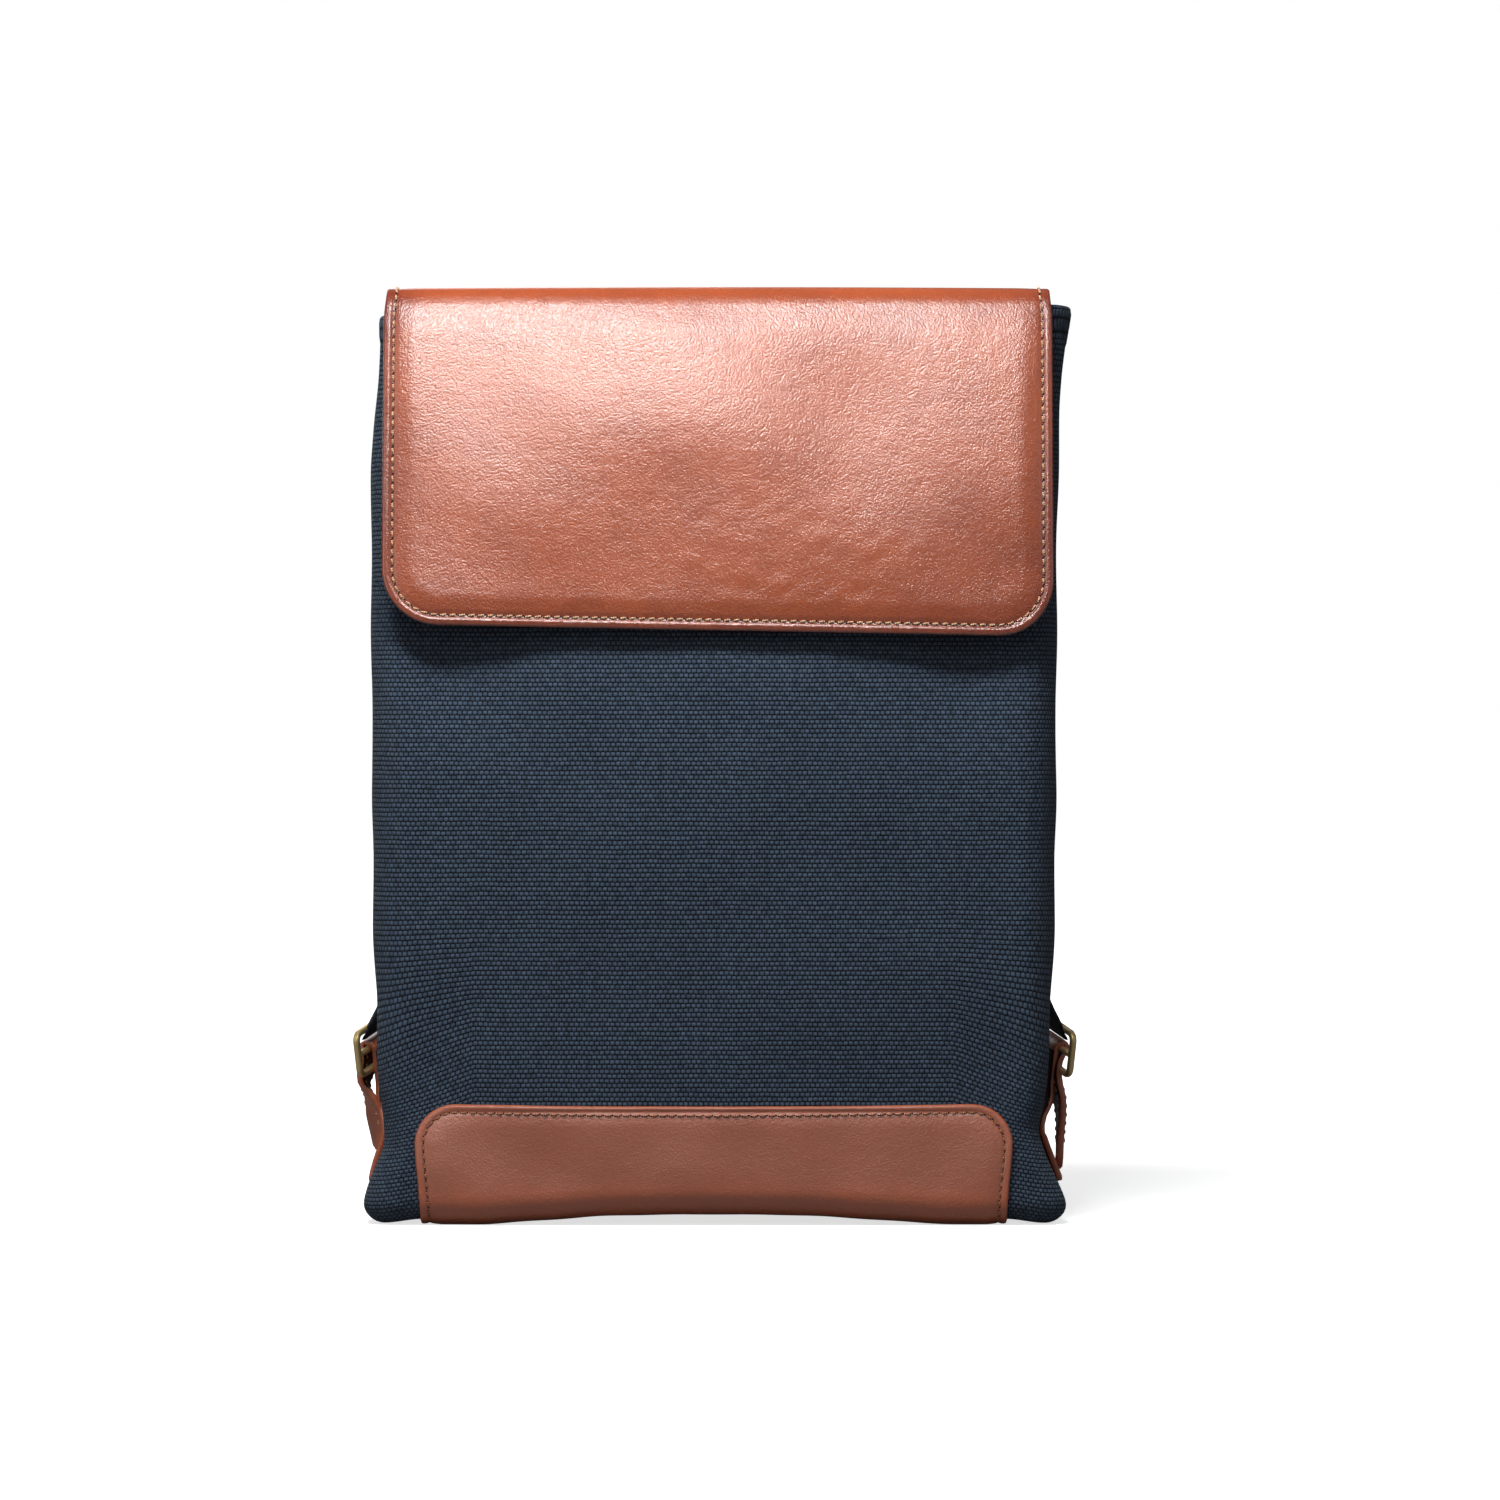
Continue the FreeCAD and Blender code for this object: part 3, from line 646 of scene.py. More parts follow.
# Half width of each side, and belly of the front, by height.
half_right = Curve(
    (-10, 2, 7, 12, 20, 30, 40, 50, 58, 74, 97, 184, 271, 306, 332, 358, 371, 392, 400),
    (149, 152.5, 154.6, 153.5, 149.5, 144.6, 141.2, 143.2, 145.2, 146.4, 146.6, 147.8,
     148.6, 149.4, 150.4, 151.4, 152.6, 155.6, 155.6), 4)
half_left = Curve(
    (-10, 2, 7, 12, 20, 27, 34, 46, 60, 74, 97, 184, 271, 306, 332, 352, 370, 392, 400),
    (148, 151.4, 153.4, 152.8, 150.2, 146.8, 143.6, 144.2, 146.4, 147.4, 147, 148, 149,
     149.8, 150, 149.2, 147.4, 146.2, 146), 4)
swell = Curve((0, 20, 60, 120, 190, 240, 262, 300, 395),
              (0, 1.0, 3.2, 5.6, 6.0, 3.8, 0.8, -0.8, -1.6), 9)


def front_y(z):
    """Unloaded front plane."""
    return -42.0 + 34.0 * (z - FOOT) / (MOUTH - FOOT)


def floor_lift(x):
    """The base arches off the floor between its corners."""
    return 4.6 * (1 - smooth(20, 122, np.abs(x))) - 2.0 * smooth(126, 146, np.abs(x))


def drape(points):
    """Belly, hollows and slack of the canvas, added to points of the plain body."""
    x, y, z = points[..., 0], points[..., 1], points[..., 2]
    fore = 1 - smooth(0, 30, y - front_y(z))
    side = smooth(112, 146, np.abs(x)) * smooth(4, 22, y - front_y(z))
    belly = swell(z) * np.sqrt(np.maximum(1 - (x / 162.0) ** 2, 0))
    hollow = -4.2 * bell(np.abs(x + 2), 112, 30) * bell(z, 246, 34)
    hollow = hollow - 1.6 * bell(np.abs(x), 128, 14) * bell(z, 60, 40)
    pull = 1.1 * np.sin((np.abs(x) - 0.62 * z) / 15.0) * bell(np.abs(x), 118, 30) * bell(z, 52, 44)
    slack = 0.9 * ripple(x, z, 120, 5) + 0.45 * ripple(x, z, 46, 8)
    calm = smooth(0, 26, z) * (1 - 0.6 * smooth(262, 300, z))
    out = np.zeros_like(points)
    out[..., 1] -= fore * (belly + hollow + (pull + slack) * calm)
    depth = np.clip((y - front_y(z)) / (BACK - front_y(z)), 0, 1)
    wall = 2.6 * 4 * depth * (1 - depth) + 0.9 * ripple(y * 1.6, z, 80, 12)
    crease = -3.4 * bell(depth, 0.55, 0.16) * smooth(300, 385, z)
    out[..., 0] += np.sign(x) * side * (wall * smooth(70, 130, z) + crease)
    out[..., 0] -= np.sign(x) * REAR_NIP * smooth(10, 50, y - front_y(z)) * bell(z, 8, 22)
    low = 1 - smooth(0, 34, z - FOOT)
    out[..., 2] += floor_lift(x) * low
    ear = np.where(x > 0, 5.2, 1.2) * smooth(128, 150, np.abs(x)) * smooth(352, 394, z)
    out[..., 2] += ear * (1 - smooth(6, 24, y))
    return points + out


def ring(z, inset_front, inset_side, trim=0.0):
    """Open outline of front and sides at one height, from rear left to rear right."""
    y0 = front_y(z) + inset_front + trim
    yb, rb = BACK - 0.4 * inset_front, CORNER_REAR
    halves = []
    for width in (half_left(z), half_right(z)):
        w = width - inset_side - trim
        r = max(CORNER_FRONT - inset_side - trim, 4.0)
        pts = [(x, y0) for x in np.linspace(0, w - r, 62)]
        pts += [(w - r + r * math.sin(t), y0 + r - r * math.cos(t))
                for t in np.linspace(0, QUARTER, 12)[1:]]
        pts += [(w, y) for y in np.linspace(y0 + r, yb - rb, 26)[1:]]
        pts += [(w - rb + rb * math.cos(t), yb - rb + rb * math.sin(t))
                for t in np.linspace(0, QUARTER, 7)[1:]]
        halves.append(np.array(pts))
    left = halves[0][::-1] * (-1, 1)
    flat = np.concatenate([left[:-1], halves[1]])
    return np.column_stack([flat, np.full(len(flat), z)])


def shell_rows():
    """Outline at every height of the wall, then rounding under to the base."""
    rows, down = [], []
    for z in np.concatenate([np.linspace(MOUTH, 60, 112), np.linspace(58, TURN_Z, 24)]):
        rows.append(ring(z, 0, 0))
        down.append(MOUTH - z)
    for angle in np.linspace(0, QUARTER, 9)[1:]:
        fall = (TURN_Z - FOOT) * math.sin(angle)
        lean = 1 - math.cos(angle)
        rows.append(ring(TURN_Z - fall, TURN_FRONT * lean, TURN_SIDE * lean))
        down.append(MOUTH - TURN_Z + TURN_FRONT * angle)
    for extra in (3.0, 7.0, 12.0):
        rows.append(ring(FOOT, TURN_FRONT + extra, TURN_SIDE + extra))
        down.append(MOUTH - TURN_Z + TURN_FRONT * QUARTER + extra)
    return np.array(rows), np.array(down)


def canvas_shell():
    """Front and sides, hanging from the mouth and turned under at the foot."""
    rows, down = shell_rows()
    points = drape(rows)
    middle = rows.shape[1] // 2
    step = np.linalg.norm(np.diff(points, axis=1), axis=2)
    along = np.concatenate([np.zeros((len(points), 1)), np.cumsum(step, axis=1)], 1)
    along -= along[:, middle:middle + 1]
    droop = 0.38 * np.maximum(np.abs(rows[..., 0]) - 104, 0) * bell(rows[..., 2], 62, 40)
    out = points - np.array([0, 12, 200])
    out[..., 2] = 0
    return one_sheet("canvas_shell", CANVAS, points, CANVAS_THICK,
                     stack(along, droop - down[:, None]), out)


def back_shape(x, z):
    """Outer face of the quilted back: soft cushions between sewn channels."""
    seams = bell(np.abs(x), 46, 4.5) + bell(z, 300, 5.0)
    puff = 0.5 - 2.2 * np.clip(seams, 0, 1) + 0.25 * ripple(x, z, 70, 21)
    return BACK - 0.1 + np.minimum(puff, 0.55)


def canvas_back():
    """Back of the bag, quilted over its padding, rounding under at the foot."""
    x = np.linspace(-1, 1, 150)[None, :]
    angle = np.linspace(0, QUARTER, 9)[1:]
    z = np.linspace(MOUTH, TURN_Z, 190)
    turn = np.concatenate([np.zeros(len(z)), 1 - np.cos(angle)])
    z = np.concatenate([z, TURN_Z - (TURN_Z - FOOT) * np.sin(angle)])
    left, right = [(half(z) - 2.0 - 6 * turn - REAR_NIP * bell(z, 8, 22))[:, None]
                   for half in (half_left, half_right)]
    xx = np.where(x > 0, x * right, x * left)
    zz = np.broadcast_to(z[:, None], xx.shape)
    edge = smooth(0, 7, (1 - np.abs(x)) * right)
    yy = BACK - 1.6 + (back_shape(xx, zz) - BACK + 1.6) * edge - 9.0 * turn[:, None]
    lift = floor_lift(xx) * (1 - smooth(0, 34, zz - FOOT))
    return one_sheet("canvas_back", CANVAS, stack(xx, yy, zz + lift), CANVAS_THICK,
                     stack(xx, zz), REARWARD)


def floor_sheet(name, material, half_x, low_y, high_y, counts, above, thick):
    """Flat sheet that follows the arch of the base."""
    x, y = np.meshgrid(np.linspace(-half_x, half_x, counts[0]),
                       np.linspace(low_y, high_y, counts[1]))
    points = stack(x, y, FOOT + above + floor_lift(x))
    return one_sheet(name, material, points, thick, stack(x, y), -UPWARD)


def back_foam():
    """Foam behind the quilted back."""
    x, z = np.meshgrid(np.linspace(-137, 137, 60), np.linspace(14, 386, 80))
    y = 39.6 - 1.4 * bell(np.abs(x), 46, 5)
    return one_sheet("back_foam", FOAM, stack(x, y, z), 5.0, stack(x, z), REARWARD)


def corner_piping():
    """Corded seams where the sides meet the back."""
    solid = Solid()
    for sign, half in ((-1, half_left), (1, half_right)):
        z = np.linspace(6, 393.5, 150)
        x = sign * (half(z) - 1.6)
        y = BACK - 0.9 + 0.2 * ripple(z, z * 0, 60, 31)
        sweep(solid, drape(stack(x, y, z)), SIDEWAYS, REARWARD, 1.5, 1.5, 2.0, 10)
    return solid.build("corner_piping", CANVAS)


# -------------------------------------------------------- inside of the bag
LOOP = 221     # texture places round a closed outline; its last point is its first


def inner_loop(z, inset, rear):
    """Closed outline inside the walls at one height, and its length."""
    front = ring(z, 0, 0, inset)
    front = drape(front[front[:, 1] < rear - 4.0])
    right, left = front[-1], front[0]
    fill = []
    for share in np.linspace(0, 1, 60)[1:-1]:
        x = right[0] + (left[0] - right[0]) * share
        y = rear - 4.0 * (1 - (1 - (2 * share - 1) ** 8) ** 0.5)
        fill.append((x, y, z))
    closed = np.concatenate([front, np.array(fill), front[:1]])
    s = distance(closed)
    return lookup(np.linspace(0, s[-1], LOOP)[:-1], s, closed), s[-1]


def loop_uv(length, height):
    """Texture places of a closed outline."""
    return stack(np.linspace(0, length, LOOP), np.full(LOOP, height))


def inner_tube(heights, inset, rear):
    """Outlines of a tube of cloth hanging inside the bag, and its texture places."""
    loops = [inner_loop(z, inset, rear) for z in heights]
    uv = [loop_uv(length, z) for (_, length), z in zip(loops, heights)]
    return np.array([loop for loop, _ in loops]), np.array(uv)


def lining():
    """Inner bag: a slack tube closed by a floor."""
    rows, uv = inner_tube(np.concatenate([np.linspace(372, 30, 60), [22, 15, 11]]), 3.6, 33.8)
    turn = np.linspace(0, TAU, LOOP)[:-1]
    slack = np.abs(ripple(turn * 60, rows[..., 2], 60, 41) * 1.6)
    slack = slack * smooth(MOUTH - 28, MOUTH - 60, rows[..., 2])
    way = unit((rows - np.array([2.0, 14.0, 0])) * (0.3, 1, 0))
    rows = rows - way * slack[..., None]
    centre = np.array([0, 2.0, 0])
    layers = [rows]
    last = rows[-1]
    for share in (0.12, 0.35, 0.65, 0.97):
        hoop = last * (1 - share) + (last * (0.9, 0, 1) + centre) * share
        hoop[:, 2] = np.maximum(10.5 + floor_lift(hoop[:, 0]) * 0.9, 10.5)
        layers.append(hoop[None])
    outer = np.concatenate(layers)
    inward = np.arange(1, 5)[:, None, None] * (0, 12.0)
    uv = np.concatenate([uv, np.repeat(uv[-1:], 4, 0) - inward])
    closed = np.concatenate([outer, outer[:, :1]], 1)
    normal = grid_normals(closed)[:, :-1]
    inside = unit(np.array([0, 14.0, 200]) - outer)
    normal *= np.sign((normal * inside).sum(-1, keepdims=True))
    solid = Solid()
    for layer in (outer, outer + normal * 0.5):
        ids = solid.add(layer)
        solid.quads(np.concatenate([ids, ids[:, :1]], 1), uv)
    return solid.build("bag_lining", LINING)


# The binding over the canvas edge: inset, rear face and height of each of its rows.
BINDING = ((2.7, 34.6, 395.4), (1.4, 36.6, 396.5), (0.1, 39.4, 396.8), (-0.6, 42.2, 396.0),
           (-0.9, 42.7, 393.8), (-0.6, 42.5, 388.0), (0.3, 41.6, 383.0))


def mouth_facing():
    """Leather band inside the mouth, folded over the canvas edge."""
    rows, uv = inner_tube(np.linspace(368, 393, 14), 3.2, 33.6)
    inside = len(rows)
    lip, places = [rows], [uv]
    for step, (gap, rear, z) in enumerate(BINDING):
        loop, length = inner_loop(min(z, MOUTH), gap, rear)
        loop[:, 2] += z - min(z, MOUTH)
        if z > 390:
            loop[:, 2] += 0.3 * ripple(loop[:, 0], loop[:, 1], 60, 51)
        lip.append(loop[None])
        places.append(loop_uv(length, 395 + 2.0 * step)[None])
    uv = np.concatenate(places)
    solid = Solid()
    ids = solid.add(np.concatenate(lip))
    ids = np.concatenate([ids, ids[:, :1]], 1)
    solid.quads(ids[:inside + 1], uv[:inside + 1], 0)
    solid.quads(ids[inside:], uv[inside:], 1)
    return solid.build("mouth_binding", LEATHER, CANVAS)


DIVIDER_TOP = 265
DIVIDER_HALF = 141


def laptop_divider():
    """Padded wall of the laptop sleeve, bound along its upper edge."""
    x, z = np.meshgrid(np.linspace(-DIVIDER_HALF, DIVIDER_HALF, 120),
                       np.linspace(DIVIDER_TOP, 14, 110))
    x = x * np.minimum(1, (np.minimum(half_left(z), half_right(z)) - 5.5) / DIVIDER_HALF)
    below = DIVIDER_TOP - z
    quilt = 0.5 * (np.abs(np.sin(x * math.pi / 47)) ** 0.5) - 0.3
    y = 7.6 - quilt * smooth(0, 8, below) + 1.2 * ripple(x, z, 150, 61) * smooth(0, 90, below)
    solid = Solid()
    leaf(solid, stack(x, y, z), 4.0 + quilt * 2 * smooth(0, 8, below), stack(x, z), -REARWARD)
    binding = stack(np.linspace(-DIVIDER_HALF, DIVIDER_HALF, 80), np.full(80, 9.5),
                    np.full(80, DIVIDER_TOP - 1.0))
    sweep(solid, binding, UPWARD, REARWARD, 4.5, 2.7, 3.0, 14, slot=1)
    return solid.build("laptop_divider_pad", LINING, LEATHER)


def slip_pocket():
    """Flat pocket on the divider whose mouth gapes a little."""
    x, z = np.meshgrid(np.linspace(-90, 90, 80), np.linspace(235, 100, 60))
    gape = 3.2 * bell(z, 235, 45) * np.cos(x / 90 * math.pi / 2) ** 2
    y = 6.0 - gape - 0.3 * ripple(x, z, 50, 71) * smooth(0, 20, 90 - np.abs(x))
    return one_sheet("slip_pocket_cloth", LINING, stack(x, y, z), 0.9, stack(x, z), -REARWARD)


# -------------------------------------------------------------- base patch
PATCH_X = 128.5
PATCH_TOP = 52.0
PATCH_R = 17.0
PATCH_END = PATCH_TOP - TURN_Z     # the patch's upper edge, as wall_point counts


def wall_point(x, s):
    """Point and outward normal on the front, s up from the start of the turn under."""
    up = np.maximum(s, 0)
    angle = np.clip(-s / TURN_FRONT, 0, QUARTER)
    under = np.maximum(-s - TURN_FRONT * QUARTER, 0)
    z = TURN_Z + up - (TURN_Z - FOOT) * np.sin(angle)
    y = front_y(z) + TURN_FRONT * (1 - np.cos(angle)) + under
    fall = stack(np.zeros_like(z), -np.cos(angle), -np.sin(angle))
    return drape(stack(x + 0 * z, y, z)), fall


def patch_relief(inset):
    """Leather lies down along its edge and swells inside the seam."""
    return 0.5 * smooth(3.0, 9.0, inset) - 0.45 * bell(inset, 2.7, 0.8)


def patch_place(x, s, lift=0.0):
    """Outer face of the base patch, its outward normal and the distance inside its edge."""
    inset = inset_of(x, s, -PATCH_X, PATCH_X, PATCH_END, PATCH_R)
    base, way = wall_point(x * (1 - 0.019 * (1 - smooth(-8, 26, s))), s)
    creep = 0.25 * ripple(x, s, 40, 81)
    return base + way * (2.2 + patch_relief(inset) + creep + lift)[..., None], way, inset


def patch_sag(x, s):
    """How far the upper edge of the patch bows downwards."""
    return 1.6 * (1 - (x / PATCH_X) ** 2) * smooth(0, PATCH_END, s)


def base_patch():
    """Leather on the foot of the front, wrapped under the base, and its stitches."""
    x, s = panel_grid(-PATCH_X, PATCH_X, -82, PATCH_END, PATCH_R)
    points, way, inset = patch_place(x, s - patch_sag(x, s))
    # Edges turn to the deep colour; so does a band round the foot's turn under, painted light:
    # warmer orange where the leather faces the floor.
    wear_shading = 0.4 * (1 - smooth(0, 3.2, inset)) + 0.8 * bell(s, -6, 9)
    patch = one_sheet("base_patch_leather", PATCH, points, 2.2, stack(x, s), way, wear_shading)
    at, _ = evenly(contour(-PATCH_X, PATCH_X, -12, PATCH_END, PATCH_R, 2.7), 3.9)
    x, s = at[:, 0], at[:, 1]
    centres, normal, _ = patch_place(x, s - patch_sag(x, s), 0.12)
    sewn = Solid()
    sew(sewn, centres, way_of(centres), normal, 2.7, 0.34)
    return patch, sewn.build("base_patch_stitching", TAN, HOLE)


CORNER_LOW, CORNER_HIGH, CORNER_WIDE = 4.5, 33.5, 40


def corner_patches():
    """Leather round each lower rear corner."""
    made = []
    for name, sign, half in (("left", -1, half_left), ("right", 1, half_right)):
        z = np.concatenate([CORNER_HIGH - EDGE_STEPS[:8], np.linspace(27, 10, 12),
                            CORNER_LOW + EDGE_STEPS[:7][::-1]])
        rows = []
        for height in z:
            line = ring(height, 0, 0)
            line = line[line[:, 0] > 0] if sign > 0 else line[line[:, 0] < 0][::-1]
            rear = line[line[:, 1] > 10]
            inward = rear[-1] + np.array([-sign, 0, 0]) * np.linspace(1.5, 22, 14)[:, None]
            line = drape(np.concatenate([rear, inward]))
            s = distance(line)
            first = np.interp(22.0, rear[:, 1], s[:len(rear)])
            rows.append(lookup(first + np.linspace(0, 1, 44) * (s[-1] - first), s, line))
        points = np.array(rows)
        normal = grid_normals(points)
        middle = np.array([sign * 110.0, 10.0, 20.0])
        normal *= np.sign((normal * (points - middle)).sum(-1).mean())
        points = points + normal * 2.2
        u, v = np.meshgrid(np.linspace(0, CORNER_WIDE, 44), z)
        inset = np.minimum(np.minimum(u, CORNER_WIDE - u),
                           np.minimum(v - CORNER_LOW, CORNER_HIGH - v))
        relief = 0.3 * smooth(2, 6, inset) - 0.3 * bell(inset, 2.4, 0.8)
        made.append(one_sheet("corner_leather_" + name, PATCH, points + normal * relief[..., None],
                              2.1, stack(u, v), points - middle, 0.5 * (1 - smooth(0, 3, inset))))
    return made


# --------------------------------------------------------------------- flap
FLAP_L, FLAP_R = -144.0, 147.4
FLAP_CORNER = 24.0
FLAP_TOP, YOKE_FOOT = 409.0, 335.5
FOLD_REAR_Y, FOLD_FRONT_Y = 44.2, -12.3
flap_line = Profile([(FOLD_REAR_Y, YOKE_FOOT), (FOLD_REAR_Y, FLAP_TOP), (FOLD_FRONT_Y, FLAP_TOP),
                     (-25.3, 258.6)], [6.5, 9.0])
S_BACK = FLAP_TOP - YOKE_FOOT      # at the rear fold
S_MID = S_BACK + 24.0              # where the rear and front pieces meet
S_FRONT = S_BACK + (FOLD_REAR_Y - FOLD_FRONT_Y) - 5.0     # at the front fold
S_END = flap_line.length


def flap_drape(x, s):
    """Puffed crown, soft hollows and slow waves of the stiffened leather."""
    hang = np.clip((s - S_FRONT) / (S_END - S_FRONT), 0, 1)
    front = smooth(S_FRONT - 8, S_FRONT + 20, s)
    crown = bell(s, S_BACK + 26, 22) * (1 - (x / 150) ** 2) * 1.4
    below = np.maximum(s - S_FRONT, 0)
    stand = 3.5 * (1 - np.exp(-below / 24)) + 1.5 * hang - 0.9 * smooth(0.62, 1, hang)
    wave = 0.75 * ripple(x, s, 130, 3) + 0.30 * ripple(x, s, 52, 9)
    fine = 0.10 * ripple(x + 0.6 * s, s, 14, 6) * bell(x, 30, 70) * bell(hang, 0.85, 0.3)
    push = 2.3 * bell(x, -18, 74) * bell(hang, 0.44, 0.27)
    dent = -0.9 * bell(x, 64, 30) * bell(hang, 0.30, 0.2)
    shelf = (0.9 * bell(x, 70, 40) * bell(hang, 0.74, 0.16)
             - 0.6 * bell(x, -15, 30) * bell(hang, 0.62, 0.16))
    rim = np.clip(np.minimum(x - FLAP_L, FLAP_R - x) / 14, 0, 1)
    return crown + front * (stand + (wave + fine + push + dent + shelf) * rim)


def flap_relief(inset):
    """Pulled-down seam line with a rolled rim outside it and a puff inside."""
    return (0.75 * smooth(3.6, 13, inset) - 0.55 * bell(inset, 3.7, 0.9)
            + 0.25 * bell(inset, 1.6, 1.1))


def flap_place(x, s, lift=0.0):
    """Outer face of the flap, its outward normal and the distance inside its edge."""
    inset = inset_of(x, s, FLAP_L, FLAP_R, S_END, FLAP_CORNER)
    inset = np.minimum(inset, np.where(s < 30, s, 99))     # the yoke's lower edge
    tilt = 1 + 0.018 * (x / 145)
    walk = np.where(s > S_FRONT, S_FRONT + (s - S_FRONT) * tilt, s)
    place, normal = flap_line.at(walk)
    over = np.maximum(walk - flap_line.length, 0)
    nip = 1 - 0.006 * (1 - smooth(S_FRONT + 1, S_FRONT + 13, s))
    points = stack(x * nip, place[..., 0] - over * 0.086, place[..., 1] - over * 0.996)
    way = stack(np.zeros_like(x), normal[..., 0], normal[..., 1])
    calm = 1 - 0.75 * bell(s, S_FRONT - 4, 14)
    rise = flap_drape(x, s) + flap_relief(inset) * calm + lift
    return points + way * rise[..., None], way, inset


def flap_pieces():
    """Leather, stitches and suede of the flap's two halves, its board and its magnets."""
    made = {}
    for part, sign, start, end, radius, skin_end, skin_radius in (
            ("rear", -1, -S_MID, 0, 6.0, -(S_BACK + 3.0), 2.0),
            ("front", 1, S_MID, S_END, FLAP_CORNER, S_END - 3, FLAP_CORNER - 3)):
        x, s = panel_grid(FLAP_L, FLAP_R, start, end, radius)
        s = sign * s
        points, way, inset = flap_place(x, s)
        # Darker along the edges, fading some way inside them.
        wear_shading = 0.42 * (1 - smooth(0.5, 8, inset)) + 0.28 * (1 - smooth(4, 26, inset))
        # Painted shade: the lower right of the front hangs darker.
        wear_shading = wear_shading + 0.3 * bell(x, 122, 44) * bell(s, S_END - 30, 36)
        # Painted shade: a darker band just below the front fold.
        wear_shading = wear_shading + 0.16 * bell(s, S_FRONT + 3, 9) + 0.3 * bell(s, S_FRONT + 12, 12)
        made["leather_" + part] = one_sheet("flap_leather_" + part, LEATHER, points, 2.3,
                                            stack(x, s), way, wear_shading, open_top=True, fat=0.42)
        at, _ = evenly(contour(FLAP_L, FLAP_R, start, end, radius, 3.7) * (1, sign), 4.1)
        centres, normal, _ = flap_place(at[:, 0], at[:, 1], 0.22)
        sewn = Solid()
        sew(sewn, centres, way_of(centres), normal, 3.1, 0.44)
        made["stitching_" + part] = sewn.build("flap_stitching_" + part, CREAM, HOLE)
        x, s = panel_grid(FLAP_L + 3, FLAP_R - 3, start, skin_end, skin_radius)
        s = sign * s
        inset = inset_of(x, s, FLAP_L + 3, FLAP_R - 3, S_END - 3, FLAP_CORNER - 3)
        skin, way, _ = flap_place(x, s)
        core = smooth(S_FRONT + 2, S_FRONT + 12, s) * smooth(2.0, 7.5, inset)
        made["suede_" + part] = one_sheet("flap_suede_" + part, SUEDE,
                                          skin - way * (2.35 + 1.35 * core)[..., None], 0.8,
                                          stack(x, s), way, open_top=True)
    x, s = panel_grid(FLAP_L + 8, FLAP_R - 8, S_FRONT + 12, S_END - 8, FLAP_CORNER - 8, step=4)
    skin, way, _ = flap_place(x, s)
    made["stiffener"] = one_sheet("flap_stiffener_board", BOARD, skin - way * 2.45, 1.1,
                                  stack(x, s), way)
    for name, across in (("left", -60.0), ("right", 60.0)):
        skin, way, _ = flap_place(np.array([across]), np.array([S_END - 22.0]))
        faces = skin - way * np.array([2.9, 3.7])[:, None]
        made["magnet_" + name] = one_strip(
            "flap_magnet_disc_" + name, [STEEL], faces, SIDEWAYS,
            unit(np.cross(way[0], SIDEWAYS)), 7.0, 7.0, 2.0, 36)
    return made


# ------------------------------------------------------------------- straps
SLIDE = {"out": 154.0, "back": 43.0, "high": 73.0, "yaw": 22.0, "roll": 14.0}


def slide_axes(hand):
    """Centre of a slide and its outward, bar and up directions. hand is -1 left, 1 right."""
    yaw = math.radians(SLIDE["yaw"] if hand > 0 else 180 - SLIDE["yaw"])
    roll = math.radians(hand * SLIDE["roll"])
    centre = np.array([hand * SLIDE["out"], SLIDE["back"], SLIDE["high"]])
    out = np.array([math.cos(yaw), math.sin(yaw), 0])
    bar = np.array([-math.sin(yaw) * math.cos(roll), math.cos(yaw) * math.cos(roll),
                    math.sin(roll)])
    return centre, out, bar, np.cross(out, bar)


def shoulder_line(hand, count):
    """Middle of a shoulder strap in the plane of the back."""
    poles = [(hand * 68, 0, 333.5), (hand * 66, 0, 248.5), (hand * 74, 0, 178.5),
             (hand * 122, 0, 123.5)]
    return bezier(poles, count)


def shoulder_strap(hand, name):
    """Strap face over its foam pad, sewn round the edge."""
    count = 120
    line = shoulder_line(hand, count)
    out = REARWARD
    across = np.cross(way_of(line), out)
    t = np.linspace(0, 1, count)
    taper = np.clip((t - 0.45) / 0.55, 0, 1)
    wide = 25 + (15 - 25) * taper * taper * (3 - 2 * taper)
    sag = 1.3 * np.sin(t * math.pi) ** 2
    thin = 0.45 + 0.55 * smooth(0, 0.09, t) * smooth(0, 0.08, 1 - t)
    pad_mid = line + out * (43.2 + 3.0 * thin + sag)[:, None]
    pad = one_strip("shoulder_pad_foam_" + name, [MESH], pad_mid, across, out, wide - 1.4,
                    3.1 * thin, 3.2, 26)
    face_mid = line + out * (43.2 + 6.2 * thin + 0.9 + sag)[:, None]
    cols = np.linspace(-1, 1, 34)
    lateral = cols * wide[:, None]
    crown = 0.9 * thin[:, None] * (1 - np.abs(cols) ** 2.6) + 0.35
    rows = face_mid[:, None] + across[:, None] * lateral[..., None] + out * crown[..., None]
    uv = stack(lateral, np.broadcast_to(distance(line)[:, None], lateral.shape))
    face = one_sheet("shoulder_face_" + name, WEBBING, rows, 1.8, uv, out)
    sewn = Solid()
    for side in (-1, 1):
        edge = face_mid + across * (side * (wide - 3.4))[:, None] + out * 0.72
        sew_line(sewn, edge[3:-3], out, 0.36)
    tack = face_mid[8] + out * 0.75 + across[8] * np.linspace(-19, 19, 40)[:, None]
    sew_line(sewn, tack, out, 0.36)
    return pad, face, sewn.build("shoulder_stitching_" + name, NAVY, HOLE)


def turned(x_axis, z_axis):
    """Turn that brings the x and z axes to the given ones."""
    x_axis = Vector(x_axis).normalized()
    z_axis = Vector(z_axis).normalized()
    return Matrix((x_axis, z_axis.cross(x_axis), z_axis)).transposed().to_quaternion()


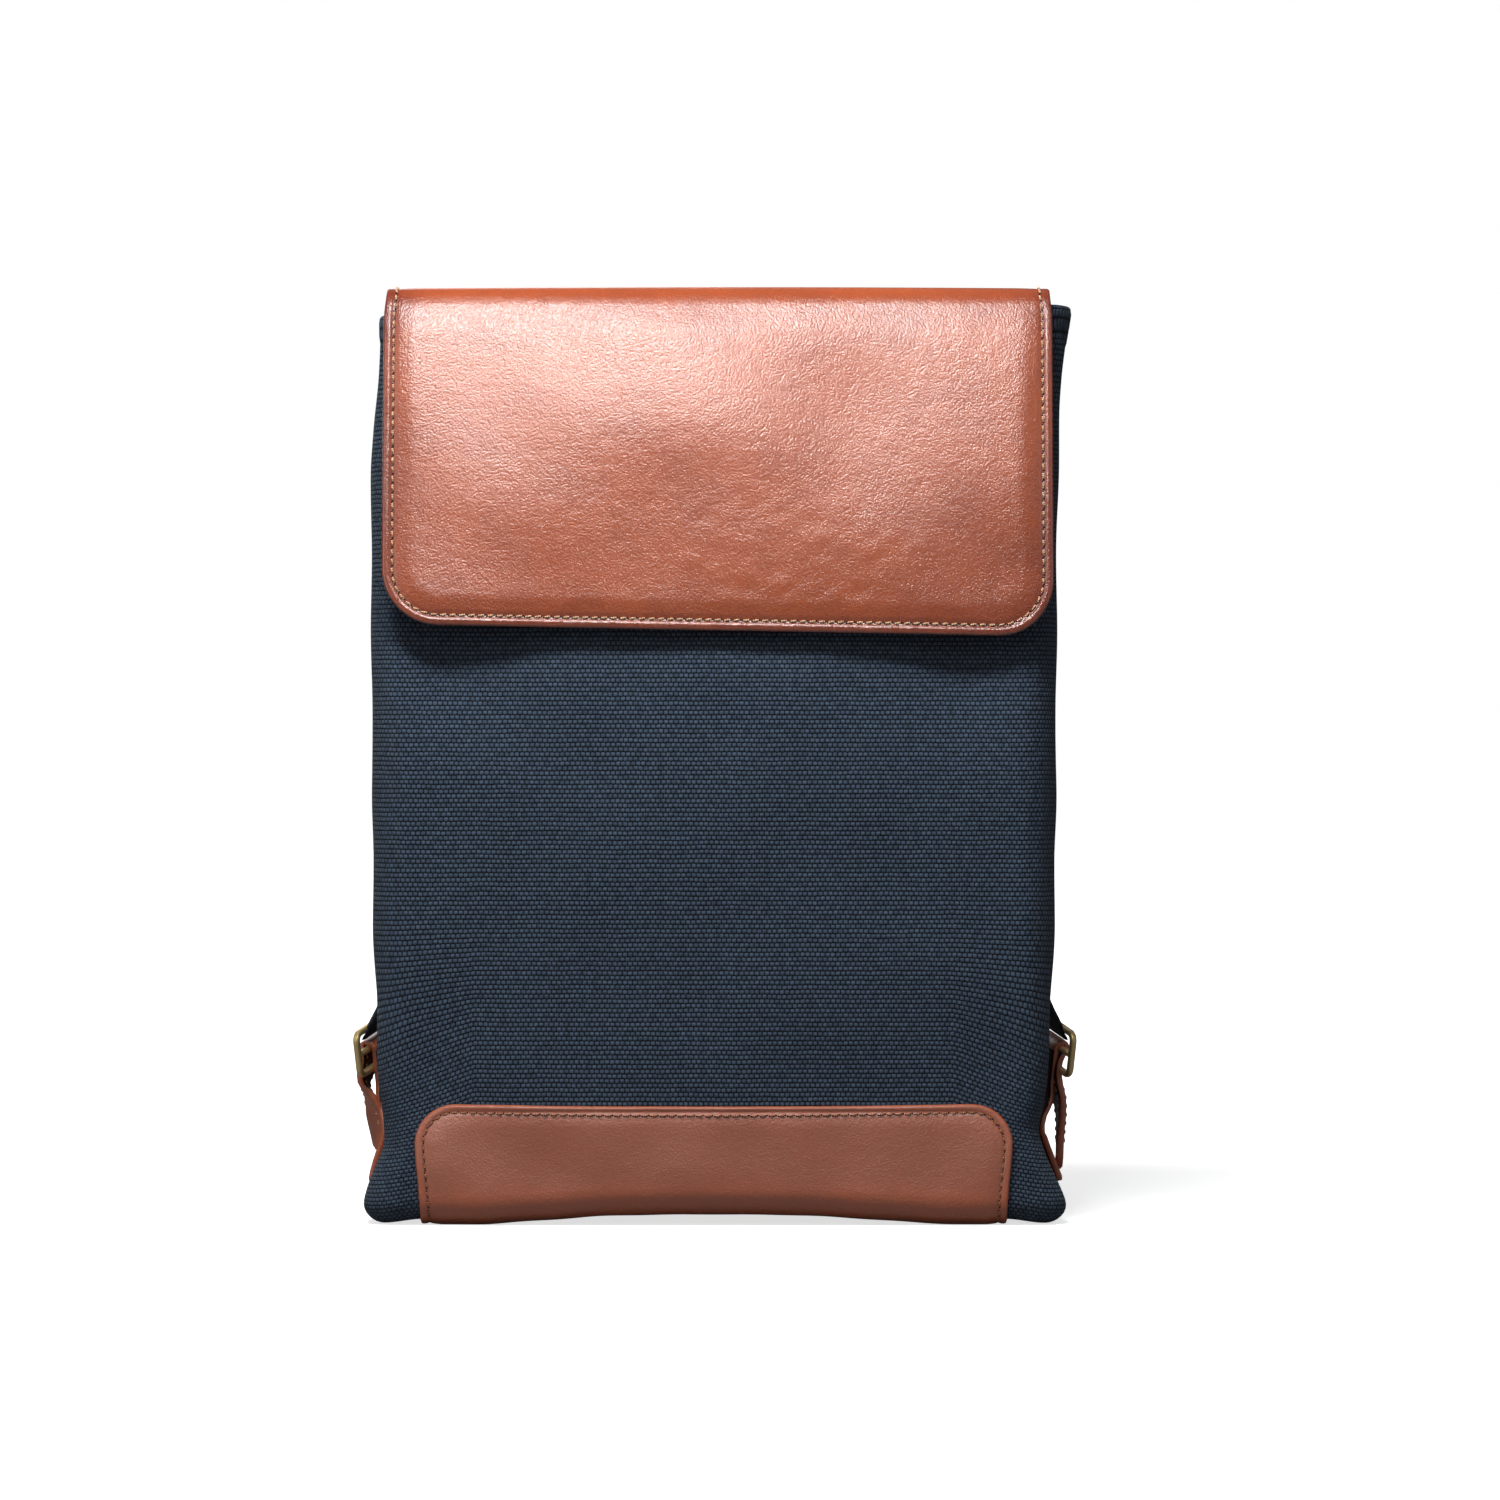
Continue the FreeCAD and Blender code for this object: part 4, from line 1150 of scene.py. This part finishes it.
def strap_end(hand, name):
    """Webbing tab, turned a quarter way round from the strap to the slide."""
    centre, out, bar, up = slide_axes(hand)
    line = shoulder_line(hand, 60)
    end = line[-1] + REARWARD * 47.2
    down = unit(line[-1] - line[-2])
    rear = bar * hand
    low = centre + rear * 1.5 + up * 5.4
    high = centre + rear * 3.0 - out * 2.6 + up * 11.5
    poles = [high, high + up * 7.0 + rear * 14.0 + out * 1.5,
             end + down * 14.0 + REARWARD * 14.0, end - down * 8.0]
    dip = bezier([low, low + up * 2.0 - out * 0.6, high - up * 3.0, high], 10)[:-1]
    path = np.concatenate([dip, bezier(poles, 44)])
    count = len(path)
    first = turned(bar, up)
    last = turned(np.cross(-down, REARWARD), -down)
    if first.dot(last) < 0:
        last = -last
    turns = [first.slerp(last, float(share))
             for share in smooth(len(dip), count - 1, np.arange(count))]
    across = np.array([q @ Vector((1, 0, 0)) for q in turns])
    thick = np.array([q @ Vector((0, 1, 0)) for q in turns])
    t = np.arange(count) / (count - 1)
    wide = 10.5 - 4.0 * smooth(0.16, 0.34, t) + 5.5 * smooth(0.4, 0.85, t)
    tab = one_strip("strap_tab_" + name, [BLACK_WEB], path, across, thick, wide,
                    0.8 + 0.7 * smooth(0.15, 0.4, t), 6.0, 30)
    sewn = Solid()
    shown = np.arange(24, count - 4)
    for side in (-1, 1):
        for face in (-1, 1):
            offset = across * (side * (wide - 2.4))[:, None] + thick * face * 1.5
            sew_band(sewn, path, thick, face, offset, shown, 3.9, 2.8, 0.34)
    return tab, sewn.build("strap_tab_stitching_" + name, NAVY, HOLE)


# Tail of each adjuster strap: heights, outward place of its front edge, and how much
# further out its rear edge is.
TAILS = {
    -1: ((66, 60, 55, 50, 45, 40, 34, 29, 26),
         (158.8, 159.8, 158.2, 153.4, 149.8, 148.4, 148.2, 149.0, 149.6),
         (-6.0, -4.4, -0.6, 4.6, 7.6, 8.2, 7.0, 5.4, 4.6)),
    1: ((66, 60, 55, 50, 42, 34, 28, 22, 17.5),
        (154.8, 154.4, 155.2, 156.4, 156.2, 155.2, 154.8, 154.6, 154.0),
        (-6.8, -5.8, -4.4, -2.8, -0.8, 0.6, 1.0, 1.2, 1.2)),
}
STRAP_HALF = 9.5     # half the width of the adjuster strap
ROUND_BAR = 3.1      # from the bar's middle to the strap's
FOOT_BEND = 9.2      # radius of the strap's foot round the bag's corner
ON_CORNER, RISING, CLIMBING = 14, 21, 16     # stations in each stretch of the strap


def soften(rough, ends, count):
    """Stations spread evenly along a rough line and smoothed, its ends kept."""
    s = distance(rough[:, :3])
    fine = np.linspace(0, s[-1], count)
    line = lookup(fine, s, rough)
    kernel = np.array([1, 4, 6, 4, 1]) / 16
    for _ in range(9):
        soft = stack(*(np.convolve(np.pad(column, 2, mode="edge"), kernel, "valid")
                       for column in line.T))
        soft[:ends], soft[-2:] = line[:ends], line[-2:]
        line = soft
    return line, s, fine


def lower_run(hand, name):
    """Adjuster strap from the corner leather up behind the slide."""
    centre, out, bar, up = slide_axes(hand)
    rear = bar * hand
    middle = centre + rear * 4.0
    diagonal = np.array([hand, 1.0, 0.0]) * math.sqrt(0.5)
    sewn_down = rear_corner(hand, np.linspace(13, 33, ON_CORNER)) + diagonal * FOOT_BEND
    joint = middle - out * ROUND_BAR - up * 16
    last = sewn_down[-1]
    rise = bezier([last, last + UPWARD * 9.0, joint - up * 9.0, joint], RISING + 1)[1:]
    climb = middle - out * ROUND_BAR + up * np.linspace(-15, 0, CLIMBING)[:, None]
    path = np.concatenate([sewn_down, rise, climb])
    t = np.concatenate([np.zeros(ON_CORNER), np.linspace(0, 1, RISING + 1)[1:],
                        np.ones(CLIMBING)])[:, None]
    across = unit(np.array([-hand, 1.0, 0.0]) * math.sqrt(0.5) * (1 - t) + rear * t)
    thick = unit(np.cross(across, way_of(path)))
    thick *= np.sign((thick * out).sum(-1, keepdims=True))
    lower = one_strip("adjuster_lower_" + name, [STRAP_HIDE, FLESH_SHADE], path, across, thick,
                      STRAP_HALF - 0.05, 1.45, 6.0, 26)
    flesh_side(lower, path, thick)
    wrap_foot(lower, hand, path, across, thick)
    return lower


def tail_run(hand, name):
    """Free end of the adjuster strap: over the slide's bar, and hanging outside."""
    centre, out, bar, up = slide_axes(hand)
    rear = bar * hand
    middle = centre + rear * 4.0
    turn = np.linspace(-0.3, math.pi * 0.86, 13)
    rough = [middle - out * (ROUND_BAR * math.cos(a)) + up * (ROUND_BAR * math.sin(a))
             for a in turn]
    lines = [rear] * len(rough)
    for height, front, spread in zip(*TAILS[hand]):
        reach = math.sqrt((2 * STRAP_HALF) ** 2 - spread ** 2)
        lateral = np.array([hand * spread, reach, 0])
        edge_y = middle[1] - STRAP_HALF * 0.93 + 0.02 * (66 - height)
        rough.append(np.array([hand * front, edge_y, height]) + lateral / 2)
        lines.append(unit(lateral))
    count = 110
    both, s, fine = soften(np.concatenate([np.array(rough), np.array(lines)], 1), 4, count)
    path, across = both[:, :3], unit(both[:, 3:])
    way = way_of(path)
    across = unit(across - way * (across * way).sum(-1, keepdims=True))
    thick = unit(np.cross(across, way))
    thick *= np.sign((thick[60] * out).sum())
    off_bar = s[len(turn) - 1]
    left = s[-1] - fine
    tip = 8.0
    rounded = 1.5 + np.sqrt(np.maximum(tip ** 2 - (tip - left) ** 2, 0))
    wide = np.minimum(np.where(left < tip, rounded, STRAP_HALF), STRAP_HALF)
    depth = 1.5 + 0.3 * smooth(off_bar, off_bar + 15, fine)
    depth = np.where(left < 0.8, depth * 0.7, depth)
    upper = one_strip("adjuster_tail_" + name, [STRAP_HIDE, FLESH_SHADE], path, across, thick, wide,
                      depth, 6.0, 30)
    flesh_side(upper, path, thick)
    sewn = Solid()
    shown = np.where((left > 11) & (fine > off_bar))[0]
    for face in (-1, 1):
        for side in (-1, 1):
            offset = across * side * 6.7 + thick * ((depth - 0.1) * face)[:, None]
            sew_band(sewn, path, thick, face, offset, shown, 3.8, 2.7, 0.32)
    return upper, sewn.build("adjuster_stitching_" + name, CREAM, HOLE)


def rear_corner(hand, z):
    """Middle of the rounding of the bag's lower rear corner."""
    half = half_right(z) if hand > 0 else half_left(z)
    aside = half - REAR_NIP * bell(z, 8, 22) - CORNER_REAR
    return stack(hand * aside, np.full_like(z, BACK - CORNER_REAR), z)


def wrap_foot(item, hand, path, across, thick):
    """Bends the sewn-down foot of an adjuster strap round the bag's corner."""
    flat = np.empty(len(item.data.vertices) * 3)
    item.data.vertices.foreach_get("co", flat)
    at = flat.reshape(-1, 3) / MM
    near = np.argmin(np.linalg.norm(at[:, None] - path[None], axis=2), axis=1)
    rel = at - path[near]
    angle = (rel * across[near]).sum(-1) / FOOT_BEND
    radius = FOOT_BEND + (rel * thick[near]).sum(-1)
    high = path[near][:, 2]
    centre = rear_corner(hand, high)
    turn = hand * math.pi / 4 + (0 if hand > 0 else math.pi) + hand * angle
    bent_to = stack(centre[:, 0] + radius * np.cos(turn), centre[:, 1] + radius * np.sin(turn),
                    at[:, 2])
    share = 1 - smooth(32, 50, high)[:, None]
    item.data.vertices.foreach_set("co", ((at + (bent_to - at) * share) * MM).ravel())


def flesh_side(item, path, thick):
    """Gives the inner face of a strap the rough side of its leather, coloured dark brown as
    painted shade.
    """
    mesh = item.data
    count = len(mesh.polygons)
    centre, normal = np.empty(count * 3), np.empty(count * 3)
    mesh.polygons.foreach_get("center", centre)
    mesh.polygons.foreach_get("normal", normal)
    centre, normal = centre.reshape(-1, 3), normal.reshape(-1, 3)
    near = np.argmin(np.linalg.norm(centre[:, None] - path[None] * MM, axis=2), axis=1)
    inner = (normal * thick[near]).sum(-1) < -0.75
    mesh.polygons.foreach_set("material_index", inner.astype(np.int32))


def haul_loop():
    """Leather carrying loop hanging flat below the yoke."""
    corners = [(-30, 333.2), (-30, 306.5), (30, 306.5), (30, 333.2)]
    line = Profile(corners, [9.0, 9.0])
    s = np.linspace(0, line.length, 110)
    place, normal = line.at(s)
    share = s / line.length
    y = 45.5 + 1.0 * np.sin(share * math.pi) ** 2
    path = stack(place[:, 0], y, place[:, 1])
    across = stack(normal[:, 0], np.zeros(len(s)), normal[:, 1])
    round_it = smooth(0.12, 0.35, share) * smooth(0.12, 0.35, 1 - share)
    leather = one_strip("haul_loop_leather", [STRAP_HIDE], path, across, REARWARD,
                        8.0 - 1.2 * round_it, 1.2 + 0.8 * round_it, 4.0, 26)
    sewn = Solid()
    for side in (-1, 1):
        edge = path + across * side * 5.2 + REARWARD * (1.22 + 0.72 * round_it)[:, None]
        sew_line(sewn, edge[4:-4], REARWARD, 0.38)
    return leather, sewn.build("haul_loop_stitching", CREAM, HOLE)


# ------------------------------------------------------------ put together
def label(item, slot, nodes):
    """A piece's material slot, which is not used, and the nodes it stands for, which are hidden.
    """
    if nodes:
        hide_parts(*nodes)
    return item


def fix(item, body, slot, *nodes):
    """A rigidly carried piece."""
    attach(item, body)
    return label(item, slot, nodes)


def bent(item, a, b, start, end, slot, *nodes):
    """A piece baked in place, with the CAD nodes it stands for hidden."""
    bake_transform(item)
    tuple(start)
    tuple(end)
    return label(item, slot, nodes)


fix(canvas_shell(), "bag", "canvas", "front_panel", "gusset_left", "gusset_right")
back = fix(canvas_back(), "bag", "canvas", "back_panel")
fix(floor_sheet("canvas_base", CANVAS, 139, -28, 34, (90, 24), 0.25, CANVAS_THICK),
    "bag", "canvas", "base_panel")
fix(floor_sheet("base_stiffener", BOARD, 136, -26, 32, (60, 16), 2.3, 2.5),
    "bag", "board", "base_board")
foam = fix(back_foam(), "bag", "foam", "back_padding")
fix(corner_piping(), "bag", "canvas")
fix(lining(), "bag", "lining", "lining")
fix(mouth_facing(), "bag", "leather", "mouth_facing")
divider = fix(laptop_divider(), "bag", "lining", "laptop_divider")
pocket = fix(slip_pocket(), "bag", "lining", "slip_pocket")
patch, patch_thread = base_patch()
fix(patch, "bag", "leather", "base_patch")
fix(patch_thread, "bag", None)
for piece, node in zip(corner_patches(), ("corner_patch_left", "corner_patch_right")):
    fix(piece, "bag", "leather", node)

flap = flap_pieces()
REAR_FOLD = ((0, 0.0431, 0.396), (0, 0.0345, 0.4079))
FRONT_FOLD = ((0, -0.002, 0.4079), (0, -0.0119, 0.3960))
bent(flap["leather_rear"], "bag", "flap_crown", *REAR_FOLD, "leather", "flap_yoke", "flap_crown")
bent(flap["stitching_rear"], "bag", "flap_crown", *REAR_FOLD, None)
bent(flap["suede_rear"], "bag", "flap_crown", *REAR_FOLD, "suede", "flap_crown_lining")
bent(flap["leather_front"], "flap_crown", "flap_front", *FRONT_FOLD, "leather", "flap_front")
bent(flap["stitching_front"], "flap_crown", "flap_front", *FRONT_FOLD, None)
bent(flap["suede_front"], "flap_crown", "flap_front", *FRONT_FOLD, "suede", "flap_lining")

fix(flap["stiffener"], "flap_front", "board", "flap_stiffener")
fix(flap["magnet_left"], "flap_front", "magnet", "flap_magnet_left")
fix(flap["magnet_right"], "flap_front", "magnet", "flap_magnet_right")

loop, loop_thread = haul_loop()
fix(loop, "haul_loop", "leather", "haul_loop")
fix(loop_thread, "haul_loop", None)

for name, hand in (("left", -1), ("right", 1)):
    body = "strap_" + name
    pad, face, thread_line = shoulder_strap(hand, name)
    span = ((hand * 0.068, 0.047, 0.3300), (hand * 0.068, 0.047, 0.262))
    bent(pad, "bag", body, *span, "strap_pad", "shoulder_pad_" + name)
    bent(face, "bag", body, *span, "strap_canvas", "shoulder_strap_" + name)
    bent(thread_line, "bag", body, *span, None)
    tab, tab_thread = strap_end(hand, name)
    fix(tab, body, "strap_canvas", "strap_end_" + name)
    fix(tab_thread, body, None)
    lower = lower_run(hand, name)
    upper, tail_thread = tail_run(hand, name)
    bent(lower, "bag", body, (hand * 0.149, 0.043, 0.033), (hand * 0.148, 0.049, 0.057),
         "leather", "lower_strap_" + name)
    fix(upper, "tail_" + name, "leather", "strap_tail_" + name)
    fix(tail_thread, "tail_" + name, None)

for node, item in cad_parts.items():
    kind = BRASS if node.startswith("slide") else STEEL if "magnet" in node else BOARD
    item.data.materials.clear()
    item.data.materials.append(kind)
    for polygon in item.data.polygons:
        polygon.use_smooth = not node.startswith("base")

# --------------------------------------------------------- floor and light
scene = bpy.context.scene


def floor():
    """Paper floor: white to the camera, grey to the light it throws back."""
    mesh = bpy.data.meshes.new("studio_floor")
    mesh.from_pydata([(-6, -4, 0), (6, -4, 0), (6, 8, 0), (-6, 8, 0)], [], [(0, 1, 2, 3)])
    item = bpy.data.objects.new("studio_floor", mesh)
    scene.collection.objects.link(item)
    f = Finish("floor_paper")
    away = f.node("ShaderNodeVectorMath")
    away.operation = "LENGTH"
    f.put(away.inputs[0], f.space())
    seen = f.node("ShaderNodeLightPath").outputs["Is Camera Ray"]
    far = f.ramp(away.outputs["Value"], 260.0, 900.0)
    glow = f.math("MULTIPLY", seen, f.math("MULTIPLY_ADD", far, 0.5, 0.62))
    f.set(Base_Color=f.mix(seen, tint(112, 112, 112), tint(246, 246, 246)), Roughness=0.9,
          Emission_Color=(1, 1, 1, 1), Emission_Strength=glow)
    mesh.materials.append(f.material)


def lamp(name, place, target, size, power):
    """Rectangular lamp turned towards a point."""
    data = bpy.data.lights.new(name, "AREA")
    data.shape = "RECTANGLE"
    data.size, data.size_y = size
    data.energy = power
    item = bpy.data.objects.new(name, data)
    item.location = place
    item.rotation_mode = "QUATERNION"
    item.rotation_quaternion = (Vector(target) - Vector(place)).to_track_quat("-Z", "Y")
    scene.collection.objects.link(item)
    return item


floor()
world = bpy.data.worlds.new("studio")
scene.world = world
world.use_nodes = True
tree = world.node_tree
tree.nodes.clear()
# The camera sees white paper; the light comes from a dim room, brighter overhead.
paper, room = tree.nodes.new("ShaderNodeBackground"), tree.nodes.new("ShaderNodeBackground")
paper.inputs[1].default_value = 1.0
paper.inputs[0].default_value = (1, 1, 1, 1)
height = tree.nodes.new("ShaderNodeSeparateXYZ")
tree.links.new(tree.nodes.new("ShaderNodeTexCoord").outputs["Generated"], height.inputs[0])
shade = tree.nodes.new("ShaderNodeMapRange")
shade.interpolation_type = "SMOOTHSTEP"
for socket, value in zip(shade.inputs[1:], (-0.1, 0.9, 0.035, 0.17)):
    socket.default_value = value
tree.links.new(height.outputs[2], shade.inputs[0])
tree.links.new(shade.outputs[0], room.inputs[1])
room.inputs[0].default_value = (0.95, 0.97, 1.0, 1)
choose, result = tree.nodes.new("ShaderNodeMixShader"), tree.nodes.new("ShaderNodeOutputWorld")
tree.links.new(tree.nodes.new("ShaderNodeLightPath").outputs["Is Camera Ray"], choose.inputs[0])
tree.links.new(room.outputs[0], choose.inputs[1])
tree.links.new(paper.outputs[0], choose.inputs[2])
tree.links.new(choose.outputs[0], result.inputs[0])
sheen = lamp("sheen", (-0.14, -1.30, 1.13), (0.0, 0, 0.36), (0.5, 0.38), 9.6)
sheen.visible_diffuse = False
above = lamp("above", (-0.16, -0.45, 1.13), (0.0, 0, 0.2), (0.5, 0.18), 13.6)
above.visible_glossy = False
lamp("fill_left", (-1.7, -1.3, 0.6), (0.0, 0, 0.2), (1.0, 1.4), 5.4)
lamp("fill_right", (1.8, -1.6, 0.6), (0.0, 0, 0.2), (1.0, 1.4), 2.6)
rear = lamp("rear", (-0.6, 1.9, 1.0), (0.0, 0, 0.2), (1.2, 1.2), 9)
rear.data.use_shadow = False

camera_data = bpy.data.cameras.new("camera")
camera_data.sensor_width = 36
camera_data.lens = 119.7
camera = bpy.data.objects.new("camera", camera_data)
camera.location = (0.0157, -2.2, 0.206)
camera.rotation_euler = (math.pi / 2, 0, 0)
scene.collection.objects.link(camera)
scene.camera = camera
scene.view_settings.view_transform = "Standard"
